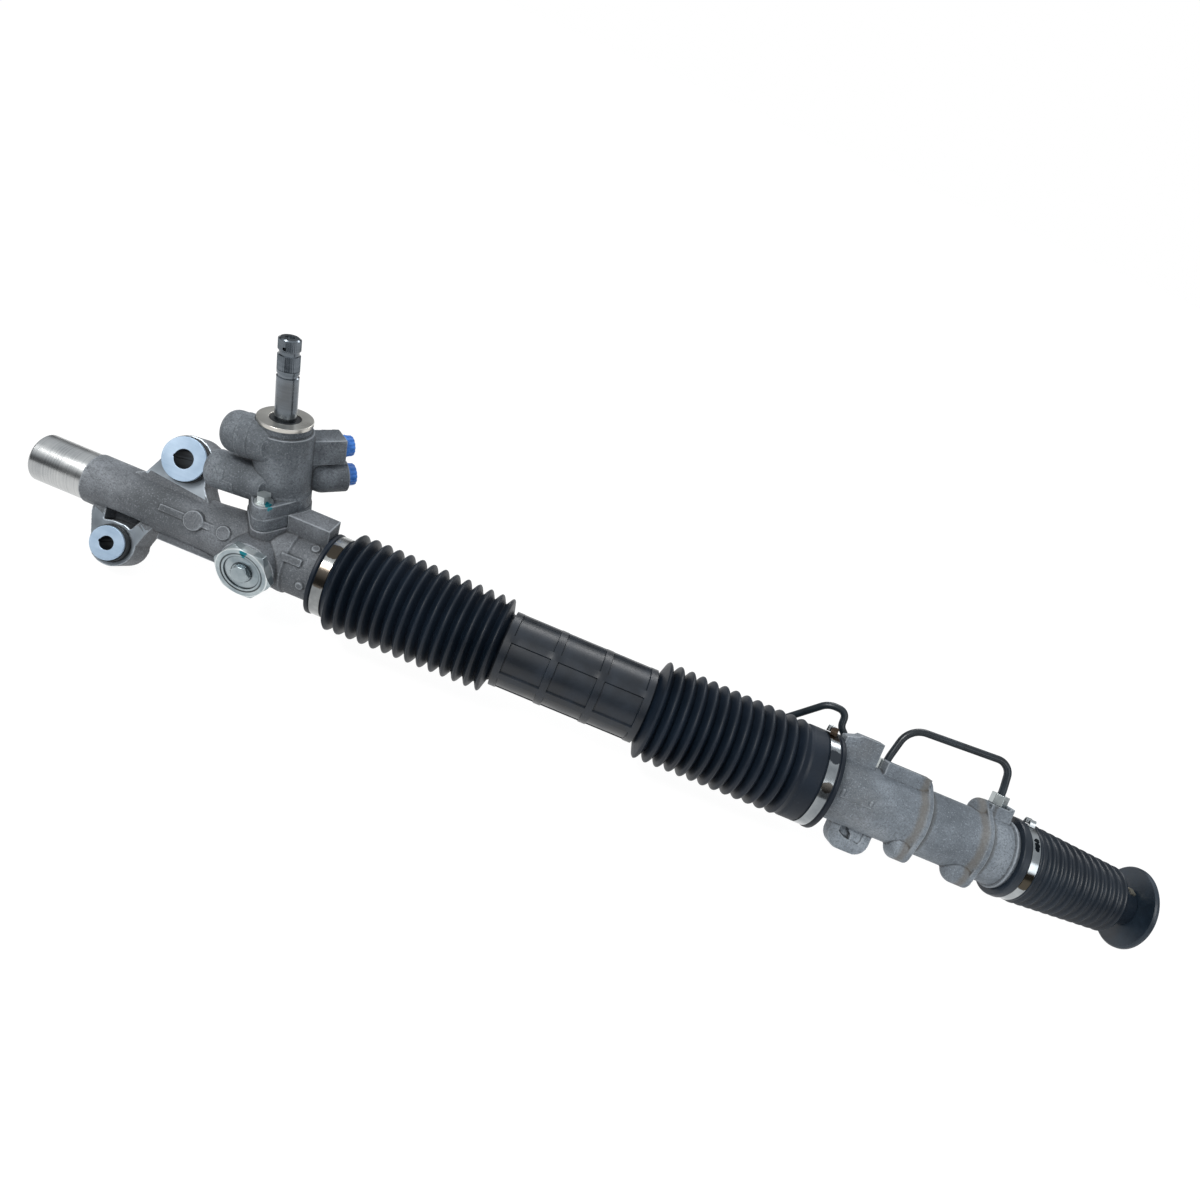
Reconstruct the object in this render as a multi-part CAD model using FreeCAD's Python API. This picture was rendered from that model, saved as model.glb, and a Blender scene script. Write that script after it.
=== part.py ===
import FreeCAD, Part
import math
import os

os.makedirs("parts", exist_ok=True)
V = FreeCAD.Vector
origin = V(0, 0, 0)
along_x = V(1, 0, 0)
along_y = V(0, 1, 0)
along_z = V(0, 0, 1)

# Steering rack with its tie rods taken off near the middle.
# X runs along the rack, +Z is up along the steering shaft, -Y faces the engine side.
# All sizes are millimetres. Running clearances are on the radius.

running = 0.05
seal_gap = 0.03
band_gap = 0.04
boot_gap = 0.5

# Travel and angles
rack_travel = 68.0
pinion_lean = 5.0
mount_tilt = 30.0

# Rack bar and piston
bar_r = 13.5
bar_left_x = -368.0
rod_start_x = 150.0
rod_r = 11.0
piston_x = 332.0
piston_thick = 14.0
piston_r = 22.4
piston_ring_thick = 3.0
stub_r = 8.0
piston_nut_thick = 8.0
piston_nut_flats = 20.0

# Gear
module = 2.0
pinion_teeth = 8
profile_shift = 0.55
pressure_angle = 20.0
tip_clearance = 0.5
tooth_backlash = 0.06
pinion_x = -252.0
pinion_face_low = -11.0
pinion_face_high = 13.0
rack_tooth_count = 27

# End tube
end_tube_left_x = -450.0
end_tube_r = 20.2
end_tube_wall = 3.0
end_tube_insert = 22.0
end_plug_thick = 6.0

# Gear housing
housing_left_x = -405.0
housing_r = 21.3
housing_neck_r = 27.3
cast_bore_r = 15.0
boot_seat_r = 32.0
left_seat_x = -199.5
left_seat_width = 16.0
boot_lip_reach = 1.6
tower_r = 24.0
tower_low = -27.0
tower_top = 30.0
tower_flange_r = 25.4
tower_flange_thick = 12.0
valve_flange_step = 1.6
neck_step_r = 28.6
guide_boss_r = 23.0
guide_boss_face_y = -33.0

# Bushes
bush_a_x = -366.8
bush_a_up = -42.6
bush_a_bore_r = 15.2
bush_a_washer_r = 14.2
bush_a_hole_r = 5.8
lug_a_r = 19.0
bush_b_x = -333.9
bush_b_up = 44.6
bush_b_bore_r = 17.2
bush_b_washer_r = 18.2
bush_b_hole_r = 8.0
lug_b_r = 20.2
lug_thick = 24.0
bush_length = 40.0
washer_thick = 2.5
sleeve_wall = 2.0

# Rack guide
guide_r = 16.0
guide_length = 20.0
guide_screw_r = 17.2
guide_screw_thick = 11.0
guide_nut_flats = 43.0
guide_nut_thick = 8.0
guide_nut_turn = -7.0
guide_gap = 0.4
spring_wire_r = 1.1
spring_r = 6.0
spring_length = 9.0
guide_hex_flats = 14.0
guide_hex_height = 3.5

# Valve body and shaft
valve_r = 22.6
valve_flange_split = 41.0
valve_top = 104.5
valve_neck_r = 20.2
valve_bore_r = 18.0
top_ring_r = 21.4
top_ring_hole_r = 12.0
top_ring_low = 110.4
top_ring_thick = 3.4
shaft_r = 8.4
shaft_journal_r = 8.2
shaft_journal_top = 115.5
shaft_top = 178.0
rotor_r = 10.5
shaft_bearing_r = 11.6
torsion_bar_r = 3.4
valve_sleeve_low = 42.0
valve_sleeve_high = 92.0
sleeve_ring_thick = 2.0
ear_r = 8.6
ear_step = 0.7
valve_collar_high = 3.0
valve_bolt_r = 4.0
valve_bolt_radius = 30.4
valve_ear_top = 52.0
washer_r = 7.2
washer_high = 1.6
bolt_thread_depth = 11.0
bolt_angles = (-87.0, 93.0)
bolt_head_flats = 10.0
bolt_head_high = 6.0

# Pressure bosses on the left of the valve body
side_boss_start_x = -8.0
side_boss_low_y = -11.5
side_boss_low_z = 57.0
side_boss_low_r = 16.0
side_boss_low_length = 46.5
side_boss_high_y = -9.5
side_boss_high_z = 94.0
side_boss_high_r = 17.0
side_boss_high_length = 35.0
valve_port_x = -34.0
valve_port_back = 8.0
valve_port_r = 8.5

# Ports
port_angle = 45.0
upper_port_z = 88.0
upper_port_reach = 47.5
lower_port_z = 61.0
lower_port_reach = 51.5
lower_port_r = 14.2
lower_port_root = 32.0
cap_length = 8.5
upper_cap_r = 9.2
lower_cap_r = 10.0
port_bore_r = 6.5

# Centre tube, take-off block and centre sleeve
centre_tube_r = 20.0
centre_tube_wall = 4.5
centre_x = 25.0
takeoff_length = 64.0
takeoff_width = 20.0
takeoff_face = 34.0
takeoff_bolt_spacing = 44.0
takeoff_hole_r = 6.2
rack_thread_r = 5.3
slot_clear = 0.5
saddle_depth = 10.0
sleeve_left_x = -39.0
sleeve_right_x = 89.5
sleeve_r = 33.0
sleeve_skin_r = 31.2
sleeve_bore_r = 29.5
sleeve_rib = 6.0
sleeve_row_count = 8
sleeve_column_count = 3

# Boots
boot_wall = 1.6
boot_root_r = 35.5
left_boot_crest_count = 14
left_boot_first_x = -181.0
left_boot_pitch = 10.4
left_crest_start_r = 43.0
left_crest_end_r = 41.6
right_boot_crest_count = 13
right_boot_first_x = 97.0
right_boot_pitch = 10.33
right_crest_start_r = 43.4
right_crest_end_r = 42.2
right_seat_r = 38.0
right_seat_x = 239.0
right_seat_width = 15.5
cuff_r = 29.2
cuff_length = 8.0
band_width = 8.5
band_thick = 0.9

# Cylinder
cylinder_r = 28.4
cylinder_bore_r = 22.5
cylinder_end_x = 421.0
cylinder_end_r = 30.4
spigot_r = 29.4
spigot_end_x = 440.0
gland_left_x = 246.0
gland_length = 9.5
plug_left_x = 409.5
plug_length = 22.0
circlip_thick = 2.0
circlip_r = 24.0
flange_one_x = 341.0
flange_two_x = 396.5
flange_thick = 4.4
flange_r = 31.2
flange_cove = 8.5
lower_lobe = (-65.0, 26.0, 13.0)
upper_lobe_one = (95.0, 17.5, 19.0)
upper_lobe_two = (97.0, 27.0, 12.0)
end_ring_x = 417.4
slot_lug_left = 275.6
slot_lug_right = 312.5
slot_lug_r = 12.2
slot_lug_back = 2.0
slot_lug_thick = 14.0
slot_lug_level = -36.0

# Small boot and end flange
small_boot_lip_x = 421.3
small_boot_lip_r = 35.2
small_band_x = 429.0
small_band_width = 7.0
small_band_r = 33.0
small_boot_end_x = 520.0
small_boot_end_r = 27.6
small_boot_turn_count = 10
small_boot_crest_r = 34.7
end_flange_x = 544.4
end_flange_r = 35.5
end_flange_thick = 4.0
end_neck_r = 14.0
end_neck_wall = 2.0
end_stem_r = 9.5
clip_angle = 68.0

# Pipes
pipe_r = 3.2
flare_nut_flats = 13.0
flare_nut_length = 9.5
flare_nut_turn = 30.0
nut_seat_r = 8.0
block_left_x = 256.5
left_port_x = 262.8
left_port_back = 13.0
left_port_up = 27.0
bridge_port_x = 303.5
bridge_port_back = 9.0
bridge_port_up = 27.0
right_port_x = 404.0
right_port_back = 3.0
right_port_up = 38.5


def save(shape, name):
    # The row origin is on the rack axis, midway between the two tie rod bolts
    placed = shape.copy()
    placed.translate(V(-centre_x, 0, 0))
    placed.exportStep("parts/" + name + ".step")


def cylinder(radius, length, base, direction):
    return Part.makeCylinder(radius, length, base, direction)


def ring(outer, inner, length, base, direction):
    step_back = base - direction * 1.0
    hole = cylinder(inner, length + 2.0, step_back, direction)
    return cylinder(outer, length, base, direction).cut(hole)


def block(x0, x1, y0, y1, z0, z1):
    return Part.makeBox(x1 - x0, y1 - y0, z1 - z0, V(x0, y0, z0))


def spun_x(points):
    corners = [V(x, 0, r) for x, r in points]
    face = Part.Face(Part.makePolygon(corners + corners[:1]))
    return face.revolve(origin, along_x, 360)


def spun_z(points):
    corners = [V(r, 0, z) for r, z in points]
    face = Part.Face(Part.makePolygon(corners + corners[:1]))
    return face.revolve(origin, along_z, 360)


def plate_y(points, y0, y1):
    corners = [V(x, y0, z) for x, z in points]
    face = Part.Face(Part.makePolygon(corners + corners[:1]))
    return face.extrude(V(0, y1 - y0, 0))


def prism(flats, length, base, direction, turned=0.0):
    sides = 6
    radius = flats / 2 / math.cos(math.pi / sides)
    corners = []
    for i in range(sides):
        angle = 2 * math.pi * i / sides + math.radians(turned)
        corners.append(V(radius * math.cos(angle), radius * math.sin(angle), 0))
    solid = Part.Face(Part.makePolygon(corners + corners[:1])).extrude(V(0, 0, length))
    solid.Placement = FreeCAD.Placement(base, FreeCAD.Rotation(along_z, direction))
    return solid


def joined(first, others):
    return first.fuse(others).removeSplitter()


def on_pinion(shape):
    placed = shape.copy()
    placed.rotate(origin, along_y, -pinion_lean)
    placed.translate(V(pinion_x, pinion_offset, 0))
    return placed


def on_mount(shape):
    placed = shape.copy()
    placed.rotate(origin, along_x, -mount_tilt)
    return placed


def rounded_boss(radius, length, end_round):
    # A round boss along +Z from the origin, with a soft far end
    flat = radius - end_round
    low = V(0, 0, 0)
    corner = V(radius, 0, 0)
    shoulder = V(radius, 0, length - end_round)
    turn = end_round * math.sqrt(0.5)
    middle = V(flat + turn, 0, length - end_round + turn)
    rim = V(flat, 0, length)
    top = V(0, 0, length)
    edges = [Part.makeLine(low, corner), Part.makeLine(corner, shoulder)]
    edges.append(Part.Arc(shoulder, middle, rim).toShape())
    edges.append(Part.makeLine(rim, top))
    edges.append(Part.makeLine(top, low))
    return Part.Face(Part.Wire(edges)).revolve(origin, along_z, 360)


def aimed(shape, base, direction):
    placed = shape.copy()
    placed.Placement = FreeCAD.Placement(base, FreeCAD.Rotation(along_z, direction))
    return placed


# Gear geometry shared by the rack bar, the pinion and the housing
pitch_r = module * pinion_teeth / 2
reference_distance = pitch_r + profile_shift * module
pinion_tip_r = pitch_r + (0.8 + profile_shift) * module
pinion_root_r = reference_distance - module - tip_clearance
rack_tip_y = 10.4
pinion_offset = rack_tip_y + reference_distance - module
rack_root_y = pinion_offset - pinion_tip_r - tip_clearance
lean = math.radians(pinion_lean)
pressure = math.radians(pressure_angle)
tooth_pitch = math.pi * module
pinion_axis = V(-math.sin(lean), 0, math.cos(lean))
boot_seat_right_x = left_seat_x + left_seat_width
cylinder_left_x = right_seat_x


def involute_point(base_r, radius, mirror, half_angle):
    roll = math.sqrt((radius / base_r) ** 2 - 1)
    angle = half_angle - (roll - math.atan(roll))
    return V(radius * math.cos(angle), mirror * radius * math.sin(angle), 0)


def root_point(angle):
    return V(pinion_root_r * math.cos(angle), pinion_root_r * math.sin(angle), 0)


def pinion_gear():
    base_r = pitch_r * math.cos(pressure)
    thick = module * (math.pi / 2 + 2 * profile_shift * math.tan(pressure)) - tooth_backlash
    half_angle = thick / 2 / pitch_r + math.tan(pressure) - pressure
    step = 2 * math.pi / pinion_teeth
    radii = [base_r + (pinion_tip_r - base_r) * i / 4 for i in range(5)]
    edges = []
    for tooth in range(pinion_teeth):
        turn = FreeCAD.Rotation(along_z, math.degrees(tooth * step) - 90)
        rising = [turn.multVec(involute_point(base_r, r, -1, half_angle)) for r in radii]
        falling = [turn.multVec(involute_point(base_r, r, 1, half_angle)) for r in reversed(radii)]
        start = turn.multVec(root_point(-half_angle))
        end = turn.multVec(root_point(half_angle))
        following = turn.multVec(root_point(step - half_angle))
        root_middle = turn.multVec(root_point(step / 2))
        up = Part.BSplineCurve()
        up.interpolate(rising)
        down = Part.BSplineCurve()
        down.interpolate(falling)
        edges.append(Part.makeLine(start, rising[0]))
        edges.append(up.toShape())
        edges.append(Part.Arc(rising[-1], turn.multVec(V(pinion_tip_r, 0, 0)), falling[0]).toShape())
        edges.append(down.toShape())
        edges.append(Part.makeLine(falling[-1], end))
        edges.append(Part.Arc(end, root_middle, following).toShape())
    outline = Part.Wire(Part.__sortEdges__(edges))
    gear = Part.Face(outline).extrude(V(0, 0, pinion_face_high - pinion_face_low))
    gear.translate(V(0, 0, pinion_face_low))
    return gear


# Levels along the pinion axis
journal_r = 6.4
lower_bearing_low = -24.0
lower_bearing_high = -13.0
lower_bearing_r = 12.5
head_r = 10.0
upper_bearing_low = 16.0
upper_bearing_high = 27.0
upper_bearing_r = 17.0
pinion_seal_low = 30.0
pinion_seal_high = 36.0
pinion_head_top = 40.0
top_bearing_low = 94.5
top_bearing_high = 103.0
top_seal_low = 105.0
top_seal_high = top_ring_low + top_ring_thick - 1.0


def gear_housing():
    outline = [(housing_left_x, cast_bore_r - 1), (housing_left_x, housing_r - 1.0)]
    step_x = pinion_x + guide_boss_r + 2.2
    outline += [(housing_left_x + 1.0, housing_r), (-300.0, housing_r), (step_x - 4.0, neck_step_r)]
    outline += [(step_x, neck_step_r), (step_x + 1.0, housing_neck_r)]
    outline += [(left_seat_x - 3.0, housing_neck_r), (left_seat_x, boot_seat_r)]
    outline += [(boot_seat_right_x, boot_seat_r), (boot_seat_right_x, cast_bore_r - 1)]
    barrel = spun_x(outline)
    half = lug_thick / 2
    # Lower lug: a thick plate with a pocket between its two webs
    lug_a = cylinder(lug_a_r, lug_thick, V(bush_a_x, -half, bush_a_up), along_y)
    web_a = plate_y([(-393, -8), (-392, -24), (bush_a_x - lug_a_r + 0.2, bush_a_up),
                     (bush_a_x + 13.5, bush_a_up - 12), (-345, -27), (-336, -8)], -half, half)
    pocket = plate_y([(-382, -14), (-380, -26.5), (-372, -24.6), (-362, -24.6),
                      (-357, -26.5), (-350, -14)], -half - 1, 2.0)
    # Upper lug on its gusset
    lug_b = cylinder(lug_b_r, lug_thick, V(bush_b_x, -half, bush_b_up), along_y)
    web_b = plate_y([(-372, 10), (-370, 19.5), (-362, 23), (bush_b_x - lug_b_r + 0.6, bush_b_up - 4),
                     (bush_b_x + lug_b_r - 1.5, bush_b_up - 8), (-313, 28), (-300, 10)], -half, half)
    stiffener = block(-338, -275, -6, 6, -26.3, -10)
    mounts = [on_mount(piece) for piece in (lug_a, web_a, lug_b, web_b, stiffener)]
    # Front of the casting: two round ejector pads joined by a raised bar
    front = V(0, -1, 0)
    pads = [cylinder(8.2, housing_r + 2.2, V(-307.5, 0, 1.8), front)]
    pads.append(cylinder(5.8, housing_neck_r - 2.2, V(-281.0, 0, 2.0), front))
    pads.append(block(-337, -268, -housing_r - 1.2, 0, -0.8, 4.4))
    pads.append(block(-230, -213, -housing_neck_r - 1.6, 0, 0.5, 7.0))
    pads = [on_mount(pad) for pad in pads]
    small_pads = [cylinder(3.4, housing_neck_r + 1.6, V(-208.6, 0, 0), V(0, -0.316, 0.949))]
    small_pads.append(cylinder(3.4, housing_neck_r + 1.6, V(-209.2, 0, 0), V(0, -1, 0)))
    # Pinion tower with its bolting flange
    tower = cylinder(tower_r, tower_top - tower_low, V(0, 0, tower_low), along_z)
    flange_low = tower_top - tower_flange_thick
    tower = joined(tower, [two_bolt_plate(tower_flange_r, ear_r + ear_step, flange_low, tower_top)])
    saddle = block(pinion_x, left_seat_x - boot_lip_reach - boot_gap, -4, 16, 0, 44)
    room_r = tower_flange_r + boot_gap
    valve_room = two_bolt_plate(room_r, ear_r + ear_step + boot_gap, tower_top, tower_top + 60)
    saddle = saddle.cut(on_pinion(valve_room))
    boss_start = V(pinion_x, 0, 0)
    guide_boss = cylinder(guide_boss_r, -guide_boss_face_y, boss_start, front)
    pieces = mounts + pads + small_pads + [on_pinion(tower), saddle, guide_boss]
    solid = joined(barrel, pieces)
    # Bores
    length = boot_seat_right_x - housing_left_x
    bore = cylinder(cast_bore_r, length + 4, V(housing_left_x - 2, 0, 0), along_x)
    tube_seat = cylinder(end_tube_r + running, end_tube_insert + 1, V(housing_left_x - 1, 0, 0), along_x)
    centre_seat = cylinder(centre_tube_r, left_seat_width + 3,
                           V(boot_seat_right_x - left_seat_width, 0, 0), along_x)
    guide_bore = cylinder(guide_r, 60, boss_start, front)
    thread_end = V(pinion_x, guide_boss_face_y + guide_screw_thick, 0)
    thread_bore = cylinder(guide_screw_r + running, 20, thread_end, front)
    pinion_room = cylinder(pinion_tip_r + 0.6, 60, V(0, 0, lower_bearing_low), along_z)
    lower_seat = cylinder(lower_bearing_r, 60, V(0, 0, lower_bearing_low - 60 + 11.0), along_z)
    upper_seat = cylinder(upper_bearing_r, 40, V(0, 0, upper_bearing_low), along_z)
    cuts = [bore, tube_seat, centre_seat, guide_bore, thread_bore]
    cuts += [on_pinion(piece) for piece in (pinion_room, lower_seat, upper_seat)]
    cuts += [on_pinion(bolt_hole(angle, flange_low - 1, tower_top + 1)) for angle in bolt_angles]
    half_long = lug_thick + 2
    bush_a = cylinder(bush_a_bore_r, half_long, V(bush_a_x, -half - 1, bush_a_up), along_y)
    bush_b = cylinder(bush_b_bore_r, half_long, V(bush_b_x, -half - 1, bush_b_up), along_y)
    cuts += [on_mount(pocket), on_mount(bush_a), on_mount(bush_b)]
    return solid.cut(cuts)


def ear_centre(angle):
    turn = math.radians(angle)
    return V(valve_bolt_radius * math.cos(turn), valve_bolt_radius * math.sin(turn), 0)


def tangent_lobe(big_r, centre, small_r, low, high):
    # A round lobe and the tangent web that joins it to a disc at the origin
    distance = centre.Length
    heading = math.atan2(centre.y, centre.x)
    turn = math.acos((big_r - small_r) / distance)
    corners = []
    rims = [(1, big_r, origin), (1, small_r, centre), (-1, small_r, centre), (-1, big_r, origin)]
    for side, radius, middle in rims:
        angle = heading + side * turn
        corners.append(middle + V(radius * math.cos(angle), radius * math.sin(angle), low))
    web = Part.Face(Part.makePolygon(corners + corners[:1])).extrude(V(0, 0, high - low))
    return joined(web, [cylinder(small_r, high - low, centre + V(0, 0, low), along_z)])


def two_bolt_plate(middle_r, lobe_r, low, high):
    disc = cylinder(middle_r, high - low, V(0, 0, low), along_z)
    lobes = [tangent_lobe(middle_r, ear_centre(angle), lobe_r, low, high) for angle in bolt_angles]
    return joined(disc, lobes)


def lobed_flange(right_x, thick, middle_r, lobes):
    # A flange across the rack axis with rounded lobes at given mount angles
    pieces = []
    for angle, distance, radius in lobes:
        turn = math.radians(angle)
        centre = V(-distance * math.sin(turn), -distance * math.cos(turn), 0)
        pieces.append(tangent_lobe(middle_r, centre, radius, 0, thick))
    plate = joined(cylinder(middle_r, thick, origin, along_z), pieces)
    plate.rotate(origin, along_y, 90)
    plate.translate(V(right_x - thick, 0, 0))
    return plate


def bolt_hole(angle, low, high):
    return cylinder(valve_bolt_r, high - low, ear_centre(angle) + V(0, 0, low), along_z)


def end_tube():
    right = housing_left_x + end_tube_insert
    inner = end_tube_r - end_tube_wall
    points = [(end_tube_left_x, inner), (end_tube_left_x, end_tube_r - 1.8)]
    points += [(end_tube_left_x + 1.8, end_tube_r), (right, end_tube_r), (right, inner)]
    return spun_x(points)


def end_plug():
    inner = end_tube_r - end_tube_wall
    x0 = end_tube_left_x + 0.8
    points = [(x0, 0), (x0, inner - 1.5), (x0 + 1.5, inner), (x0 + end_plug_thick, inner)]
    points += [(x0 + end_plug_thick, 0)]
    return spun_x(points)


def bush_sleeve(x, up, hole_r, washer_r):
    half = bush_length / 2
    tube = cylinder(hole_r + sleeve_wall, bush_length, V(x, -half, up), along_y)
    front = cylinder(washer_r, washer_thick, V(x, -half, up), along_y)
    back = cylinder(washer_r, washer_thick, V(x, half - washer_thick, up), along_y)
    solid = joined(tube, [front, back])
    hole = cylinder(hole_r, bush_length + 2, V(x, -half - 1, up), along_y)
    notch = block(x - hole_r - 0.8, x, -half - 1, half + 1, up - 1.2, up + 1.2)
    return on_mount(solid.cut([hole, notch]))


def bush_rubber(x, up, hole_r, washer_r, bore_r):
    inner = hole_r + sleeve_wall
    half_lug = lug_thick / 2
    half = bush_length / 2 - washer_thick
    middle = ring(bore_r, inner, lug_thick, V(x, -half_lug, up), along_y)
    front = ring(washer_r + 0.9, inner, half - half_lug, V(x, -half, up), along_y)
    back = ring(washer_r + 0.9, inner, half - half_lug, V(x, half_lug, up), along_y)
    return on_mount(joined(middle, [front, back]))


def rack_guide():
    front_y = -(bar_r * 0.35)
    back_y = front_y - guide_length
    front = V(0, -1, 0)
    yoke = cylinder(guide_r - running, guide_length, V(pinion_x, front_y, 0), front)
    saddle = cylinder(bar_r + running, 4 * guide_r, V(pinion_x - 2 * guide_r, 0, 0), along_x)
    pocket = cylinder(spring_r + 2.2, 8.0, V(pinion_x, back_y - 1, 0), along_y)
    return yoke.cut([saddle, pocket])


guide_back_y = -(bar_r * 0.35) - guide_length
guide_screw_front_y = guide_back_y - guide_gap
guide_screw_face_y = guide_boss_face_y - guide_nut_thick + 0.3


def guide_spring():
    # Ground ends are flat rings, with the coils drawn between them
    pitch = 2.6 * spring_wire_r
    turns = (spring_length - 2 * spring_wire_r) / pitch
    helix = Part.makeHelix(pitch, pitch * turns, spring_r)
    circle = Part.makeCircle(spring_wire_r, V(spring_r, 0, 0), along_y)
    coil = Part.Wire(helix.Edges).makePipeShell([Part.Wire([circle])], True, True)
    start_y = guide_back_y + 7.0 - spring_wire_r
    return aimed(coil, V(pinion_x, start_y, 0), V(0, -1, 0))


def guide_screw():
    front = V(0, -1, 0)
    length = guide_screw_front_y - guide_screw_face_y
    disc = cylinder(guide_screw_r, length, V(pinion_x, guide_screw_front_y, 0), front)
    thread_end = V(pinion_x, guide_boss_face_y + guide_screw_thick, 0)
    narrow = ring(guide_screw_r + 2, guide_r - 0.2, 40, thread_end, along_y)
    recess = ring(guide_screw_r - 2.4, 8.6, 1.4, V(pinion_x, guide_screw_face_y + 1.2, 0), front)
    hexagon = prism(guide_hex_flats, guide_hex_height, V(pinion_x, guide_screw_face_y, 0), front)
    chamfer = aimed(spun_z([(0, -1), (8.0, -1), (8.0, 2.2), (6.6, guide_hex_height), (0, guide_hex_height)]),
                    V(pinion_x, guide_screw_face_y, 0), front)
    tip_y = guide_back_y + 7.0 - spring_length
    pocket_depth = guide_screw_front_y - tip_y
    pocket = cylinder(spring_r + 2.2, pocket_depth, V(pinion_x, guide_screw_front_y, 0), front)
    solid = disc.cut([narrow, recess, pocket])
    return solid.fuse(hexagon.common(chamfer))


def guide_locknut():
    front = V(0, -1, 0)
    body = prism(guide_nut_flats, guide_nut_thick, V(pinion_x, guide_boss_face_y, 0), front, guide_nut_turn)
    softened = spun_z([(0, -1), (24.6, -1), (24.6, guide_nut_thick - 2.4), (21.4, guide_nut_thick),
                       (21.4, guide_nut_thick + 1), (0, guide_nut_thick + 1)])
    softened = aimed(softened, V(pinion_x, guide_boss_face_y, 0), front)
    hole = cylinder(guide_screw_r + running, 30, V(pinion_x, guide_boss_face_y + 5, 0), front)
    return body.common(softened).cut(hole)


def pinion():
    gear = pinion_gear()
    lower = cylinder(journal_r, pinion_face_low - lower_bearing_low + 1, V(0, 0, lower_bearing_low), along_z)
    head = cylinder(head_r, pinion_head_top - pinion_face_high, V(0, 0, pinion_face_high), along_z)
    top = valve_sleeve_low + 8.0
    spigot = cylinder(head_r - 2, top - pinion_head_top, V(0, 0, pinion_head_top), along_z)
    hole = cylinder(torsion_bar_r, 60, V(0, 0, pinion_head_top - 14.0), along_z)
    return on_pinion(joined(gear, [lower, head, spigot]).cut(hole))


def bearing(outer, shaft, low, high):
    # Outer and inner races with a shielded gap between them
    inner = shaft + seal_gap
    gap = (outer - inner) / 2
    groove = 0.8
    high_face = ring(inner + gap + 1.0, inner + gap - 1.0, groove, V(0, 0, high - groove), along_z)
    low_face = ring(inner + gap + 1.0, inner + gap - 1.0, groove, V(0, 0, low), along_z)
    race = ring(outer, inner, high - low, V(0, 0, low), along_z)
    return on_pinion(race.cut([high_face, low_face]))


def lower_cap():
    low = tower_low
    disc = cylinder(lower_bearing_r, lower_bearing_low - low, V(0, 0, low), along_z)
    return on_pinion(disc)


def seal(outer, shaft, low, high):
    # Lip seal: a channel with a garter groove on its open side
    inner = shaft + seal_gap
    body = ring(outer, inner, high - low, V(0, 0, low), along_z)
    middle = (outer + inner) / 2
    wide = (outer - inner) / 4
    channel = ring(middle + wide, middle - wide, (high - low) * 0.6, V(0, 0, low - 0.01), along_z)
    return on_pinion(body.cut(channel))


def input_shaft():
    groove_r = shaft_r - 1.0
    band_r = shaft_r - 0.6
    low = valve_sleeve_low + 8.6
    points = [(0, low), (rotor_r, low), (rotor_r, valve_sleeve_high + 1.5)]
    points += [(shaft_journal_r, valve_sleeve_high + 1.5), (shaft_journal_r, shaft_journal_top)]
    points += [(shaft_r, shaft_journal_top + 0.4), (shaft_r, 148.0), (groove_r, 148.6)]
    points += [(groove_r, 150.4), (shaft_r, 151.0), (shaft_r, 153.5)]
    points += [(band_r, 153.5), (band_r, 165.0), (groove_r, 165.8), (groove_r, 168.2), (band_r, 169.0)]
    points += [(band_r, shaft_top - 1.0), (band_r - 1.0, shaft_top), (0, shaft_top)]
    core = spun_z(points)
    bands = [serrated_band(153.5, 165.0), serrated_band(169.0, shaft_top - 1.0)]
    bore = cylinder(torsion_bar_r + running, 200, V(0, 0, low - 1), along_z)
    cross_hole = cylinder(1.3, shaft_r * 2, V(0, 0, shaft_top - 7.0), V(0, -1, 0))
    slots = []
    for i in range(3):
        slot = block(rotor_r - 1.2, rotor_r + 1, -2.2, 2.2, 60, 84)
        slot.rotate(origin, along_z, 120 * i)
        slots.append(slot)
    return on_pinion(joined(core, bands).cut([bore, cross_hole] + slots))


def serrated_band(low, high):
    teeth = 36
    corners = []
    for i in range(teeth):
        for share, radius in ((0.0, shaft_r), (0.5, shaft_r - 0.7)):
            angle = 2 * math.pi * (i + share) / teeth
            corners.append(V(radius * math.cos(angle), radius * math.sin(angle), low))
    face = Part.Face(Part.makePolygon(corners + corners[:1]))
    star = face.extrude(V(0, 0, high - low))
    return star.cut(cylinder(torsion_bar_r + 2, high - low + 2, V(0, 0, low - 1), along_z))


def torsion_bar():
    thin = torsion_bar_r - 1.0
    low = pinion_head_top - 14.0
    points = [(0, low), (torsion_bar_r, low), (torsion_bar_r, low + 14), (thin, low + 18)]
    points += [(thin, shaft_top - 22), (torsion_bar_r, shaft_top - 18), (torsion_bar_r, shaft_top - 1.5)]
    points += [(0, shaft_top - 1.5)]
    return on_pinion(spun_z(points))


ring_levels = [valve_sleeve_low + 4 + 12.6 * i for i in range(4)]


def valve_sleeve():
    outer = valve_bore_r - 0.4
    length = valve_sleeve_high - valve_sleeve_low
    body = ring(outer, rotor_r + running, length, V(0, 0, valve_sleeve_low), along_z)
    collar_top = valve_sleeve_low + 8.0
    collar = ring(rotor_r + 1, head_r - 2, collar_top - valve_sleeve_low, V(0, 0, valve_sleeve_low), along_z)
    body = joined(body, [collar])
    cuts = []
    for level in ring_levels:
        cuts.append(ring(outer + 1, outer - 1.6, sleeve_ring_thick + 0.2, V(0, 0, level - 0.1), along_z))
    for level in ring_levels[:-1]:
        cuts.append(ring(outer + 1, outer - 2.2, 5.0, V(0, 0, level + 4.8), along_z))
    return on_pinion(body.cut(cuts))


def sleeve_rings():
    outer = valve_bore_r - seal_gap
    inner = valve_bore_r - 2.0
    rings = [ring(outer, inner, sleeve_ring_thick, V(0, 0, level), along_z) for level in ring_levels]
    return on_pinion(Part.makeCompound(rings))


def port_direction():
    turn = math.radians(port_angle)
    return V(math.cos(turn), math.sin(turn), 0)


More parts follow.
